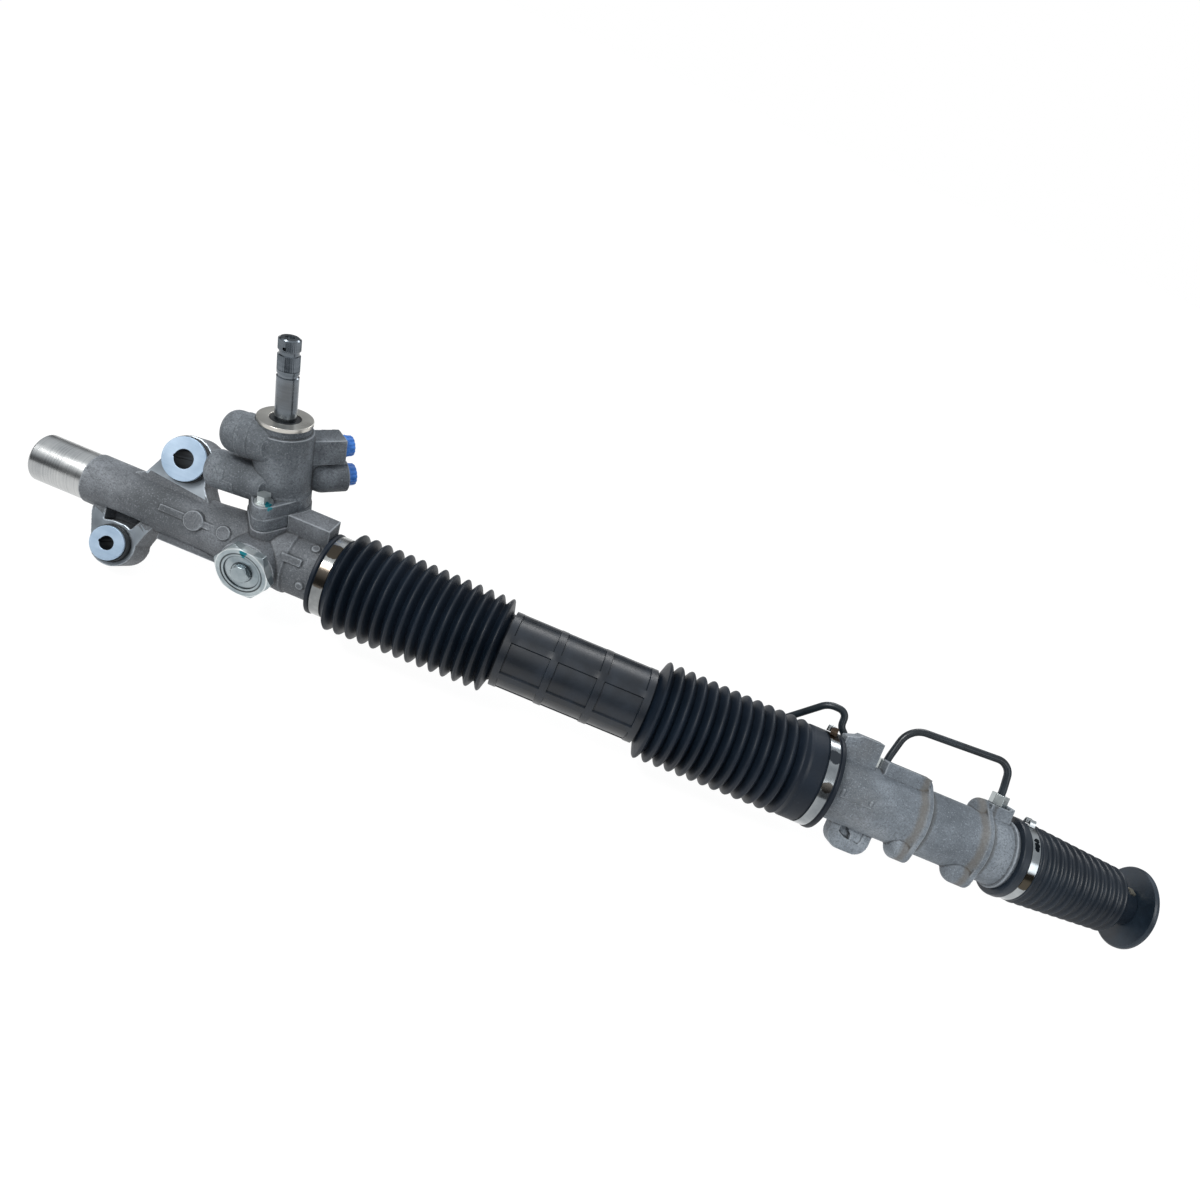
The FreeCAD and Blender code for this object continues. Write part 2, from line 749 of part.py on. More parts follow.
def valve_body():
    low = tower_top
    main = cylinder(valve_r, valve_top - low, V(0, 0, low), along_z)
    neck = cylinder(valve_neck_r, top_ring_low - valve_top + 1, V(0, 0, valve_top - 1), along_z)
    plate_r = tower_flange_r - valve_flange_step
    groove_top = low + 2 * ear_step
    flange = two_bolt_plate(plate_r, ear_r, low, groove_top)
    wide_part = two_bolt_plate(plate_r + ear_step, ear_r + ear_step, groove_top, valve_flange_split)
    high_part = two_bolt_plate(plate_r, ear_r, valve_flange_split, valve_ear_top)
    flange = joined(flange, [wide_part, high_part])
    collar_top = valve_ear_top + valve_collar_high
    collar_r = plate_r - 0.3
    collar = spun_z([(0, valve_ear_top - 1), (collar_r, valve_ear_top - 1),
                     (collar_r, valve_ear_top + 0.2), (valve_r - 0.2, collar_top), (0, collar_top)])
    out = port_direction()
    across = V(-out.y, out.x, 0)
    side = 10.5
    upper = Part.makeBox(upper_port_reach, 2 * side, 21.5, V(0, -side, upper_port_z - 11.5))
    upper.rotate(origin, along_z, port_angle)
    lower_root = out * lower_port_root + V(0, 0, lower_port_z)
    lower = cylinder(lower_port_r, lower_port_reach - lower_port_root, lower_root, out)
    lower_dome = Part.makeSphere(lower_port_r, lower_root)
    bridge = Part.makeBox(upper_port_reach - 4, 12, upper_port_z - lower_port_z, V(0, -6, lower_port_z))
    bridge.rotate(origin, along_z, port_angle)
    left = V(-1, 0, 0)
    low_start = V(side_boss_start_x, side_boss_low_y, side_boss_low_z)
    high_start = V(side_boss_start_x, side_boss_high_y, side_boss_high_z)
    boss_low = aimed(rounded_boss(side_boss_low_r, side_boss_low_length, 7.0), low_start, left)
    boss_high = aimed(rounded_boss(side_boss_high_r, side_boss_high_length, 10.0), high_start, left)
    cap_rim = cylinder(side_boss_high_r + 0.6, 9.0, high_start + left * 10.0, left)
    soft_starts = [Part.makeSphere(side_boss_low_r, low_start), Part.makeSphere(side_boss_high_r, high_start)]
    pipe_seat = cylinder(valve_port_r, valve_port_back, V(valve_port_x, 0, side_boss_low_z), along_y)
    marks = joined(block(-38.5, -35.5, -40, -12, 57, 66), [block(-38.5, -27, -40, -12, 55, 57.6)])
    marks = joined(marks, [block(-29.5, -27, -40, -12, 47, 57.6)])
    marks = marks.common(cylinder(side_boss_low_r + 0.6, 50, low_start, left))
    pieces = [neck, flange, collar, upper, lower, lower_dome, bridge]
    pieces += [boss_low, boss_high, cap_rim, pipe_seat, marks]
    body = joined(main, pieces + soft_starts)
    bore = cylinder(valve_bore_r, top_bearing_low - low, V(0, 0, low - 0.5), along_z)
    bearing_seat = cylinder(shaft_bearing_r, 30, V(0, 0, top_bearing_low - 1), along_z)
    seal_seat = cylinder(top_ring_hole_r, 30, V(0, 0, top_seal_low), along_z)
    cuts = [bore, bearing_seat, seal_seat]
    for level, reach in ((upper_port_z, upper_port_reach), (lower_port_z, lower_port_reach)):
        cuts.append(cylinder(port_bore_r, 14.0, out * (reach - 14.0) + V(0, 0, level), out))
        cuts.append(cylinder(port_bore_r - 3, reach - 4, out * 4 + V(0, 0, level), out))
    cuts += [bolt_hole(angle, low - 1, valve_ear_top + 1) for angle in bolt_angles]
    # Room over each bolt for its washer and the spanner, and round the top ring
    for angle in bolt_angles:
        cuts.append(cylinder(washer_r + boot_gap, 60, ear_centre(angle) + V(0, 0, valve_ear_top), along_z))
    cuts.append(cylinder(top_ring_r + boot_gap, 20, V(0, 0, top_ring_low), along_z))
    return on_pinion(body.cut(cuts))


def port_cap(level, reach, radius):
    out = port_direction()
    cap = cylinder(radius, cap_length, out * reach + V(0, 0, level), out)
    plug = cylinder(port_bore_r, 9.0, out * (reach - 9.0) + V(0, 0, level), out)
    ribs = []
    for i in range(12):
        rib = Part.makeBox(cap_length - 2.5, 1.6, 0.9, V(0, -0.8, radius - 0.3))
        rib.rotate(origin, along_x, 30 * i)
        rib.rotate(origin, along_z, port_angle)
        rib.translate(out * reach + V(0, 0, level))
        ribs.append(rib)
    recess = cylinder(radius - 3.0, 2.0, out * (reach + cap_length - 2.0) + V(0, 0, level), out)
    return on_pinion(joined(cap, [plug] + ribs).cut(recess))


def top_ring():
    plate = ring(top_ring_r, top_ring_hole_r, top_ring_thick, V(0, 0, top_ring_low), along_z)
    return on_pinion(plate)


def valve_bolts():
    bolts = []
    for angle in bolt_angles:
        centre = ear_centre(angle)
        washer_top = valve_ear_top + washer_high
        shank_low = tower_top - bolt_thread_depth
        shank = cylinder(valve_bolt_r, washer_top - shank_low, centre + V(0, 0, shank_low), along_z)
        washer = cylinder(washer_r, washer_high, centre + V(0, 0, valve_ear_top), along_z)
        head = prism(bolt_head_flats, bolt_head_high, centre + V(0, 0, washer_top), along_z)
        bolts.append(on_pinion(joined(shank, [washer, head])))
    return Part.makeCompound(bolts)


def rack_bar():
    right = piston_x + piston_thick / 2 + piston_nut_thick + 1.0
    piston_left = piston_x - piston_thick / 2
    points = [(bar_left_x, 0), (bar_left_x, bar_r - 1.5), (bar_left_x + 1.5, bar_r)]
    points += [(rod_start_x, bar_r), (rod_start_x + bar_r - rod_r, rod_r), (piston_left, rod_r)]
    points += [(piston_left, stub_r), (right - 1, stub_r), (right, stub_r - 1), (right, 0)]
    bar = spun_x(points)
    half_teeth = (rack_tooth_count / 2) * tooth_pitch / math.cos(lean)
    face_left = pinion_x - half_teeth
    face_right = pinion_x + half_teeth
    top_flat = block(face_left, face_right, rack_tip_y, bar_r + 1, -bar_r, bar_r)
    cuts = [top_flat]
    reference_y = rack_tip_y - module
    half_gap = tooth_pitch / 4 + tooth_backlash / 2
    low_half = half_gap - (reference_y - rack_root_y) * math.tan(pressure)
    high_y = rack_tip_y + 0.6
    high_half = half_gap + (high_y - reference_y) * math.tan(pressure)
    for i in range(rack_tooth_count):
        offset = (i - (rack_tooth_count - 1) / 2) * tooth_pitch
        corners = [V(offset - low_half, rack_root_y, -20), V(offset + low_half, rack_root_y, -20)]
        corners += [V(offset + high_half, high_y, -20), V(offset - high_half, high_y, -20)]
        groove = Part.Face(Part.makePolygon(corners + corners[:1])).extrude(V(0, 0, 40))
        groove.rotate(origin, along_y, -pinion_lean)
        # The teeth lean with the pinion, so their places along the bar are a little wider
        slide = offset / math.cos(lean) - offset * math.cos(lean)
        groove.translate(V(pinion_x + slide, 0, -offset * math.sin(lean)))
        cuts.append(groove)
    half = takeoff_length / 2
    saddle = block(centre_x - half - 1, centre_x + half + 1, saddle_depth, bar_r + 1, -bar_r, bar_r)
    cuts.append(on_mount(saddle))
    for side in (-1, 1):
        hole_x = centre_x + side * takeoff_bolt_spacing / 2
        cuts.append(on_mount(cylinder(rack_thread_r, 20, V(hole_x, saddle_depth - 18, 0), along_y)))
    cuts.append(on_mount(cylinder(3.4, 20, V(centre_x, saddle_depth - 14, 0), along_y)))
    return bar.cut(cuts)


def piston():
    left = piston_x - piston_thick / 2
    body = ring(piston_r, stub_r, piston_thick, V(left, 0, 0), along_x)
    groove = ring(piston_r + 1, piston_r - 2.5, piston_ring_thick + 0.2,
                  V(piston_x - piston_ring_thick / 2 - 0.1, 0, 0), along_x)
    return body.cut(groove)


def piston_ring():
    return ring(cylinder_bore_r - seal_gap, piston_r - 2.4, piston_ring_thick,
                V(piston_x - piston_ring_thick / 2, 0, 0), along_x)


def piston_nut():
    left = piston_x + piston_thick / 2
    nut = prism(piston_nut_flats, piston_nut_thick, V(left, 0, 0), along_x)
    return nut.cut(cylinder(stub_r, piston_nut_thick + 2, V(left - 1, 0, 0), along_x))


def takeoff_block():
    half = takeoff_length / 2
    side = takeoff_width / 2
    body = block(centre_x - half, centre_x + half, saddle_depth, takeoff_face, -side, side)
    ends = []
    for way in (-1, 1):
        end_x = centre_x + way * half
        ends.append(block(end_x - 3, end_x + 3, takeoff_face - 3, takeoff_face + 1, -side - 1, side + 1))
    holes = []
    for way in (-1, 1):
        hole_x = centre_x + way * takeoff_bolt_spacing / 2
        holes.append(cylinder(takeoff_hole_r, 40, V(hole_x, saddle_depth - 1, 0), along_y))
    holes.append(cylinder(3.6, 40, V(centre_x, saddle_depth - 1, 0), along_y))
    holes.append(cylinder(6.8, 40, V(centre_x, takeoff_face - 9, 0), along_y))
    return on_mount(body.cut(ends + holes))


def takeoff_screw():
    head = cylinder(6.5, 8.0, V(centre_x, takeoff_face - 9, 0), along_y)
    shank = cylinder(3.4, takeoff_face - 9 - saddle_depth + 12, V(centre_x, saddle_depth - 12, 0), along_y)
    socket = prism(6.0, 5.0, V(centre_x, takeoff_face - 5, 0), along_y)
    return on_mount(joined(head, [shank]).cut(socket))


def centre_sleeve():
    length = sleeve_right_x - sleeve_left_x
    skin = cylinder(sleeve_skin_r, length, V(sleeve_left_x, 0, 0), along_x)
    ribs = []
    panel = (length - sleeve_rib) / sleeve_column_count
    for i in range(sleeve_column_count + 1):
        ribs.append(cylinder(sleeve_r, sleeve_rib, V(sleeve_left_x + i * panel, 0, 0), along_x))
    for i in range(sleeve_row_count // 2):
        rib_r = sleeve_r - 0.15
        rib = block(sleeve_left_x, sleeve_right_x, -sleeve_rib / 2, sleeve_rib / 2, -rib_r, rib_r)
        rib.rotate(origin, along_x, 360 / sleeve_row_count * i)
        ribs.append(rib)
    half = takeoff_length / 2
    side = takeoff_width / 2
    pad = block(centre_x - half - 6, centre_x + half + 6, sleeve_bore_r - 5, sleeve_r, -side - 6, side + 6)
    bore = cylinder(sleeve_bore_r, length + 2, V(sleeve_left_x - 1, 0, 0), along_x)
    inside = cylinder(sleeve_bore_r - 5, length + 2, V(sleeve_left_x - 1, 0, 0), along_x)
    window = block(centre_x - half - running, centre_x + half + running, 10, sleeve_r + 3,
                   -side - running, side + running)
    shell = joined(skin, ribs).cut(bore)
    shell = joined(shell, [pad]).cut([window, inside])
    return on_mount(shell)


def bellows(path, crest_points):
    return spun_x(path + crest_points)


def left_boot():
    seat = boot_seat_r + running
    lip = left_seat_x - boot_lip_reach
    outer = [(lip, seat), (lip, 35.6), (left_seat_x + 1.4, 35.6)]
    outer += [(left_seat_x + 2.2, seat + 1.9), (left_seat_x + 12.5, seat + 1.9)]
    crests, roots = wave(left_boot_first_x, left_boot_pitch, left_boot_crest_count,
                         left_crest_start_r, left_crest_end_r)
    right = sleeve_left_x + cuff_length
    last = sleeve_left_x - 1.2
    outer += interleave(crests, roots[1:-1])
    outer += [(last, cuff_r), (right, cuff_r), (right, cuff_r - boot_wall)]
    inner = [(last - 1.5, cuff_r - boot_wall)]
    inner += [(x, r - boot_wall * 1.5) for x, r in reversed(interleave(crests, roots[1:-1]))]
    inner += [(boot_seat_right_x + 0.4, seat)]
    return bellows(outer, inner)


def right_boot():
    seat = right_seat_r + running
    left = sleeve_right_x - cuff_length
    first = sleeve_right_x + 1.2
    crests, roots = wave(right_boot_first_x, right_boot_pitch, right_boot_crest_count,
                         right_crest_start_r, right_crest_end_r)
    outer = [(left, cuff_r - boot_wall), (left, cuff_r), (first, cuff_r)]
    outer += interleave(crests, roots[1:-1])
    band_left = right_seat_x + 1.8
    band_right = band_left + band_width + 1.9
    lip = band_right + 4.2
    outer += [(right_seat_x - 13.0, 39.9), (right_seat_x - 11.5, 41.0), (band_left - 0.8, 41.0)]
    outer += [(band_left, seat + 2.2), (band_right, seat + 2.2), (band_right + 0.8, 42.0)]
    outer += [(lip, 42.0), (lip, seat), (right_seat_x - 0.4, seat)]
    inner = [(right_seat_x - 13.0, 38.0)]
    inner += [(x, r - boot_wall * 1.5) for x, r in reversed(interleave(crests, roots[1:-1]))]
    inner += [(first + 1.5, cuff_r - boot_wall)]
    return bellows(outer, inner)


def wave(first_x, pitch, count, start_r, end_r):
    crests = []
    for i in range(count):
        share = i / (count - 1)
        crests.append((first_x + i * pitch, start_r + (end_r - start_r) * share))
    roots = [(first_x + (i - 0.5) * pitch, boot_root_r) for i in range(count + 1)]
    return crests, roots


def interleave(crests, roots):
    points = []
    for crest, root in zip(crests, roots):
        points += [crest, root]
    return points + [crests[-1]]


def band(x0, width, seat):
    # Clamping band with its crimped ear standing on top
    inner = seat + band_gap
    hoop = ring(inner + band_thick, inner, width, V(x0, 0, 0), along_x)
    ear = block(x0 + 1, x0 + width - 1, inner + band_thick - 0.3, inner + 4.2, -4, 4)
    slit = block(x0, x0 + width, inner + 1.6, inner + 3.2, -2.6, 2.6)
    return on_mount(joined(hoop, [ear.cut(slit)]))


def centre_tube():
    left = boot_seat_right_x - left_seat_width
    right = gland_left_x
    tube = ring(centre_tube_r, centre_tube_r - centre_tube_wall, right - left, V(left, 0, 0), along_x)
    half = takeoff_length / 2 + rack_travel + 1.0
    side = takeoff_width / 2 + slot_clear
    slot = block(centre_x - half, centre_x + half, 4, centre_tube_r + 2, -side, side)
    return tube.cut(on_mount(slot))


def ear_boss(right_x, lobe, length, soft):
    angle, distance, radius = lobe
    turn = math.radians(angle)
    spot = V(right_x, -distance * math.cos(turn), distance * math.sin(turn))
    return aimed(rounded_boss(radius, length, soft), spot, V(-1, 0, 0))


def cylinder_housing():
    seat_right = right_seat_x + right_seat_width
    points = [(cylinder_left_x, centre_tube_r - 1), (cylinder_left_x, right_seat_r)]
    points.append((seat_right, right_seat_r))
    points += [(seat_right + 2, cylinder_r)]
    for right_x in (flange_one_x, flange_two_x):
        left_x = right_x - flange_thick
        points += [(left_x - flange_cove, cylinder_r), (left_x - flange_cove / 2, cylinder_r + 0.6)]
        points += [(left_x - 1.2, cylinder_r + 1.8), (left_x, flange_r), (right_x, flange_r)]
        points.append((right_x, cylinder_r))
    points += [(end_ring_x, cylinder_r), (end_ring_x + 0.6, cylinder_end_r)]
    points += [(cylinder_end_x - 1.5, cylinder_end_r), (cylinder_end_x, spigot_r)]
    points += [(spigot_end_x, spigot_r), (spigot_end_x, centre_tube_r - 1)]
    body = spun_x(points)
    # Flanges either side of the clamp seat, with bolting ears below and their gussets
    flanges = [lobed_flange(flange_one_x, flange_thick, flange_r, (lower_lobe, upper_lobe_one))]
    flanges.append(lobed_flange(flange_two_x, flange_thick, flange_r, (lower_lobe, upper_lobe_two)))
    features = []
    for face_x, length, soft in ((flange_one_x, 18.0, 7.0), (flange_two_x, 22.0, 10.0)):
        features.append(ear_boss(face_x, lower_lobe, length, soft))
    features.append(ear_boss(flange_two_x, upper_lobe_two, 12.5, 7.0))
    top_pad = block(297, 337, -12, 1, 20, 37.6)
    pad_shelf = block(297, 320, 0, bridge_port_back + 8, 10, bridge_port_up)
    pipe_block = plate_y([(block_left_x, 20), (block_left_x, 44.5), (266, 47.5), (268, 49.5),
                          (289, 49.5), (289, 20)], -10, 4)
    block_shelf = block(block_left_x, 289, 3, left_port_back + 8, 10, left_port_up)
    fitting_left = right_port_x - 9.0
    fitting_right = right_port_x + 11.6
    fitting = plate_y([(fitting_left, 20), (fitting_left, right_port_up), (right_port_x + 6.5, right_port_up),
                       (right_port_x + 7.0, 41.0), (fitting_right - 1.0, 41.0), (fitting_right, 20)], -8, 11)
    lug_face = slot_lug_back - slot_lug_thick / 2
    lug_rear = slot_lug_back + slot_lug_thick / 2
    slot_lug = block(slot_lug_left, slot_lug_right, lug_face, lug_rear, slot_lug_level, -20)
    for centre_at in (slot_lug_left + slot_lug_r, slot_lug_right - slot_lug_r):
        lug_end = cylinder(slot_lug_r, slot_lug_thick, V(centre_at, lug_face, slot_lug_level), along_y)
        slot_lug = slot_lug.fuse(lug_end)
    lug_floor = block(slot_lug_left + slot_lug_r, slot_lug_right - slot_lug_r, lug_face, lug_rear,
                      slot_lug_level - slot_lug_r, slot_lug_level)
    slot_lug = joined(slot_lug, [lug_floor])
    features += flanges
    features += [top_pad, pad_shelf, pipe_block, block_shelf, fitting, slot_lug]
    front_y = -cylinder_r - 0.6
    mark = [block(264, 265.8, front_y, -16, -2.2, 5.0), block(264, 291, front_y, -16, -2.2, -0.6)]
    mark.append(block(289.4, 291, front_y, -16, -2.2, 4.0))
    features += mark
    solid = joined(body, [on_mount(piece) for piece in features])
    tube_seat = cylinder(centre_tube_r, 30, V(cylinder_left_x - 10, 0, 0), along_x)
    bore = cylinder(cylinder_bore_r, 300, V(gland_left_x, 0, 0), along_x)
    clip_groove = cylinder(circlip_r, circlip_thick + 0.1, V(plug_left_x + plug_length, 0, 0), along_x)
    deep_pocket = plate_y([(284, -25), (284.2, -33.5), (290, -36.8), (295.3, -37.6), (295, -32.5), (292, -30),
                           (292, -25)], lug_face - 1, lug_face + 6.0)
    low_pocket = plate_y([(290, -25), (295.5, -37.4), (303.5, -38.4), (305.2, -35.5), (305.2, -25)],
                         lug_face - 1, lug_face + 0.9)
    left_drill = cylinder(2.0, 40, V(left_port_x, left_port_back, 12), along_z)
    ports = [left_drill, cylinder(2.0, 26, V(right_port_x + 5.5, 4, 19), V(-0.22, 0, 1))]
    for base in (left_port, bridge_port, right_port):
        ports.append(cylinder(nut_seat_r, 14, base, along_z))
    cuts = [tube_seat, bore, clip_groove]
    cuts += [on_mount(piece) for piece in ports + [deep_pocket, low_pocket]]
    return solid.cut(cuts)


def gland():
    left = gland_left_x
    body = ring(cylinder_bore_r - seal_gap, rod_r + running, gland_length, V(left, 0, 0), along_x)
    outer_groove = ring(cylinder_bore_r + 1, cylinder_bore_r - 2.2, 2.4, V(left + 3, 0, 0), along_x)
    seal_room = cylinder(15.5, 5.2, V(left + gland_length - 5.2, 0, 0), along_x)
    return body.cut([outer_groove, seal_room])


def rod_seal():
    left = gland_left_x + gland_length - 5.2
    return ring(15.5, rod_r + seal_gap, 4.8, V(left, 0, 0), along_x)


def gland_o_ring():
    return ring(cylinder_bore_r, cylinder_bore_r - 2.2, 2.2, V(gland_left_x + 3.1, 0, 0), along_x)


def cylinder_plug():
    left = plug_left_x
    body = cylinder(cylinder_bore_r - seal_gap, plug_length, V(left, 0, 0), along_x)
    nose = ring(cylinder_bore_r + 1, cylinder_bore_r - 2.5, 4.0, V(left, 0, 0), along_x)
    o_groove = ring(cylinder_bore_r + 1, cylinder_bore_r - 2.2, 2.4, V(left + 9, 0, 0), along_x)
    nut_room = cylinder(13.0, 8.0, V(left - 1, 0, 0), along_x)
    return body.cut([nose, o_groove, nut_room])


def plug_o_ring():
    return ring(cylinder_bore_r, cylinder_bore_r - 2.2, 2.2, V(plug_left_x + 9.1, 0, 0), along_x)


def plug_circlip():
    left = plug_left_x + plug_length
    hoop = ring(circlip_r, 19.5, circlip_thick, V(left + 0.05, 0, 0), along_x)
    return hoop.cut(block(left - 1, left + 5, -5, 5, -30, -15))


def small_boot():
    lip = small_boot_lip_x
    inner_seat = spigot_r + running
    outer = [(lip, inner_seat), (lip, 33.4), (lip + 1.5, small_boot_lip_r)]
    outer.append((small_band_x - 1, small_boot_lip_r))
    outer += [(small_band_x - 0.3, small_band_r), (small_band_x + small_band_width + 0.3, small_band_r)]
    outer += [(small_band_x + small_band_width + 1, 34.4)]
    first = small_band_x + small_band_width + 6.0
    pitch = (small_boot_end_x - first) / small_boot_turn_count
    inner = []
    for i in range(small_boot_turn_count):
        share = i / small_boot_turn_count
        crest_r = small_boot_crest_r + (small_boot_end_r + 1.4 - small_boot_crest_r) * share
        x = first + i * pitch
        outer += [(x, crest_r), (x + pitch / 2, crest_r - 1.6)]
        inner += [(x, crest_r - 2.6), (x + pitch / 2, crest_r - 4.0)]
    neck_r = end_neck_r + end_neck_wall
    outer += [(small_boot_end_x, small_boot_end_r), (small_boot_end_x + 2.2, small_boot_end_r - 2)]
    outer += [(small_boot_end_x + 3.6, neck_r + 2), (small_boot_end_x + 5.0, neck_r)]
    neck_x = end_flange_x - end_flange_thick
    outer += [(neck_x, neck_r), (neck_x, end_neck_r)]
    inner += [(small_boot_end_x - 1.5, small_boot_end_r - 3.5), (small_boot_end_x + 0.8, end_neck_r)]
    inner.reverse()
    inner += [(spigot_end_x + 1.0, inner_seat)]
    return spun_x(outer + inner)


def end_flange():
    left = end_flange_x - end_flange_thick
    points = [(left - 7.0, 0), (left - 7.0, end_neck_r - running), (left, end_neck_r - running)]
    points += [(left, end_flange_r - 1.2), (left + 1.2, end_flange_r), (end_flange_x - 0.8, end_flange_r)]
    points += [(end_flange_x, end_flange_r - 0.8), (end_flange_x, end_stem_r + 3)]
    points += [(end_flange_x - 1, end_stem_r + 1), (end_flange_x - 1, end_stem_r)]
    points.append((end_flange_x + 5.5, end_stem_r - 0.8))
    points += [(end_flange_x + 6.5, end_stem_r - 2.4), (end_flange_x + 6.5, 0)]
    return spun_x(points)


def vent_clip():
    # Bright end of the spring clip that holds the boot's neck on its stem
    seat = end_neck_r + end_neck_wall + running
    left = end_flange_x - end_flange_thick - 6.0
    hoop = ring(seat + 1.4, seat, 4.0, V(left, 0, 0), along_x)
    window = block(left - 1, left + 5, -4.0, 4.0, 0, 30)
    window.rotate(origin, along_x, 90 - clip_angle)
    return on_mount(hoop.common(window))


def bent_pipe(points, radius_share=0.45):
    # Straight runs joined by tangent arcs, swept by the pipe's round section
    edges = []
    start = points[0]
    for i in range(1, len(points) - 1):
        before = (points[i - 1] - points[i])
        after = (points[i + 1] - points[i])
        cut = radius_share * min(before.Length, after.Length, 40.0)
        enter = points[i] + before.normalize() * cut
        leave = points[i] + after.normalize() * cut
        inward = (before + after).normalize()
        half_turn = before.getAngle(after) / 2
        bend = cut * math.tan(half_turn)
        to_centre = cut / math.cos(half_turn)
        middle = points[i] + inward * (to_centre - bend)
        edges.append(Part.makeLine(start, enter))
        edges.append(Part.Arc(enter, middle, leave).toShape())
        start = leave
    edges.append(Part.makeLine(start, points[-1]))
    path = Part.Wire(edges)
    heading = points[1] - points[0]
    section = Part.Wire([Part.makeCircle(pipe_r, points[0], heading)])
    return path.makePipeShell([section], True, False)


def mount_point(x, back, up):
    turn = math.radians(mount_tilt)
    return V(x, back * math.cos(turn) + up * math.sin(turn), -back * math.sin(turn) + up * math.cos(turn))


def pinion_point(x, y, z):
    spot = FreeCAD.Rotation(along_y, -pinion_lean).multVec(V(x, y, z))
    return spot + V(pinion_x, pinion_offset, 0)


mount_up = mount_point(0, 0, 1)
left_port = V(left_port_x, left_port_back, left_port_up)
bridge_port = V(bridge_port_x, bridge_port_back, bridge_port_up)
right_port = V(right_port_x, right_port_back, right_port_up)
left_port_point = mount_point(left_port.x, left_port.y, left_port.z)
bridge_port_point = mount_point(bridge_port.x, bridge_port.y, bridge_port.z)
right_port_point = mount_point(right_port.x, right_port.y, right_port.z)
valve_port_point = pinion_point(valve_port_x, valve_port_back, side_boss_low_z)


def pipe_long():
    # Runs low behind the boots, then climbs over the far end of the right boot
    points = [valve_port_point, pinion_point(valve_port_x, valve_port_back + 28, side_boss_low_z)]
    points += [mount_point(-268, 50, 34), mount_point(-232, 47.5, 21.7), mount_point(205, 47.5, 21.7)]
    points += [mount_point(240.0, 17, 62.0), mount_point(256.0, 14, 61.2), mount_point(256.6, 14, 47.5)]
    return bent_pipe(points + [mount_point(left_port_x, left_port_back, 42.0), left_port_point])


def pipe_bridge():
    points = [bridge_port_point, mount_point(bridge_port_x, bridge_port_back, bridge_port_up + 11)]
    points.append(mount_point(bridge_port_x + 7.0, bridge_port_back, 70.5))
    points.append(mount_point(right_port_x - 3.5, right_port_back, 75.6))
    points.append(mount_point(right_port_x, right_port_back, right_port_up + 12))
    return bent_pipe(points + [right_port_point])


def flare_nuts():
    seats = [(left_port_point, mount_up), (bridge_port_point, mount_up), (right_port_point, mount_up)]
    seats.append((valve_port_point, along_y))
    return Part.makeCompound([flare_nut(at, direction) for at, direction in seats])


def flare_nut(at, direction):
    nut = prism(flare_nut_flats, flare_nut_length, at, direction, flare_nut_turn)
    return nut.cut(cylinder(pipe_r, flare_nut_length + 2, at - direction, direction))


nodes = {
    "gear_housing": gear_housing,
    "end_tube": end_tube,
    "end_plug": end_plug,
    "rack_guide": rack_guide,
    "guide_spring": guide_spring,
    "guide_screw": guide_screw,
    "guide_locknut": guide_locknut,
    "pinion": pinion,
    "lower_cap": lower_cap,
    "input_shaft": input_shaft,
    "torsion_bar": torsion_bar,
    "valve_sleeve": valve_sleeve,
    "sleeve_rings": sleeve_rings,
    "valve_body": valve_body,
    "valve_bolts": valve_bolts,
    "top_ring": top_ring,
    "rack_bar": rack_bar,
    "piston": piston,
    "piston_ring": piston_ring,
    "piston_nut": piston_nut,
    "takeoff_block": takeoff_block,
    "takeoff_screw": takeoff_screw,
    "centre_sleeve": centre_sleeve,
    "centre_tube": centre_tube,
    "left_boot": left_boot,
    "right_boot": right_boot,
    "cylinder_housing": cylinder_housing,
    "inner_gland": gland,
    "rod_seal": rod_seal,
    "gland_o_ring": gland_o_ring,
    "cylinder_plug": cylinder_plug,
    "plug_o_ring": plug_o_ring,
    "plug_circlip": plug_circlip,
    "small_boot": small_boot,
    "end_flange": end_flange,
    "vent_clip": vent_clip,
    "pipe_long": pipe_long,
    "pipe_bridge": pipe_bridge,
    "flare_nuts": flare_nuts,
}

for name, make in nodes.items():
    save(make(), name)

rounds = {
    "bush_a_sleeve": bush_sleeve(bush_a_x, bush_a_up, bush_a_hole_r, bush_a_washer_r),
    "bush_a_rubber": bush_rubber(bush_a_x, bush_a_up, bush_a_hole_r, bush_a_washer_r, bush_a_bore_r),
    "bush_b_sleeve": bush_sleeve(bush_b_x, bush_b_up, bush_b_hole_r, bush_b_washer_r),
    "bush_b_rubber": bush_rubber(bush_b_x, bush_b_up, bush_b_hole_r, bush_b_washer_r, bush_b_bore_r),
    "pinion_lower_bearing": bearing(lower_bearing_r, journal_r, lower_bearing_low, lower_bearing_high),
    "pinion_upper_bearing": bearing(upper_bearing_r, head_r, upper_bearing_low, upper_bearing_high),
    "shaft_bearing": bearing(shaft_bearing_r, shaft_journal_r, top_bearing_low, top_bearing_high),
    "pinion_seal": seal(valve_bore_r, head_r, pinion_seal_low, pinion_seal_high),
    "shaft_seal": seal(top_ring_hole_r, shaft_journal_r, top_seal_low, top_seal_high),
    "port_cap_upper": port_cap(upper_port_z, upper_port_reach, upper_cap_r),
    "port_cap_lower": port_cap(lower_port_z, lower_port_reach, lower_cap_r),
    "left_boot_band": band(left_seat_x + 2.9, band_width, boot_seat_r + running + 1.9),
    "right_boot_band": band(right_seat_x + 2.6, band_width, right_seat_r + running + 2.2),
    "small_boot_band": band(small_band_x, small_band_width, small_band_r),
}

for name, shape in rounds.items():
    save(shape, name)
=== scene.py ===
import math

import bmesh
import bpy
from mathutils import Matrix, Vector


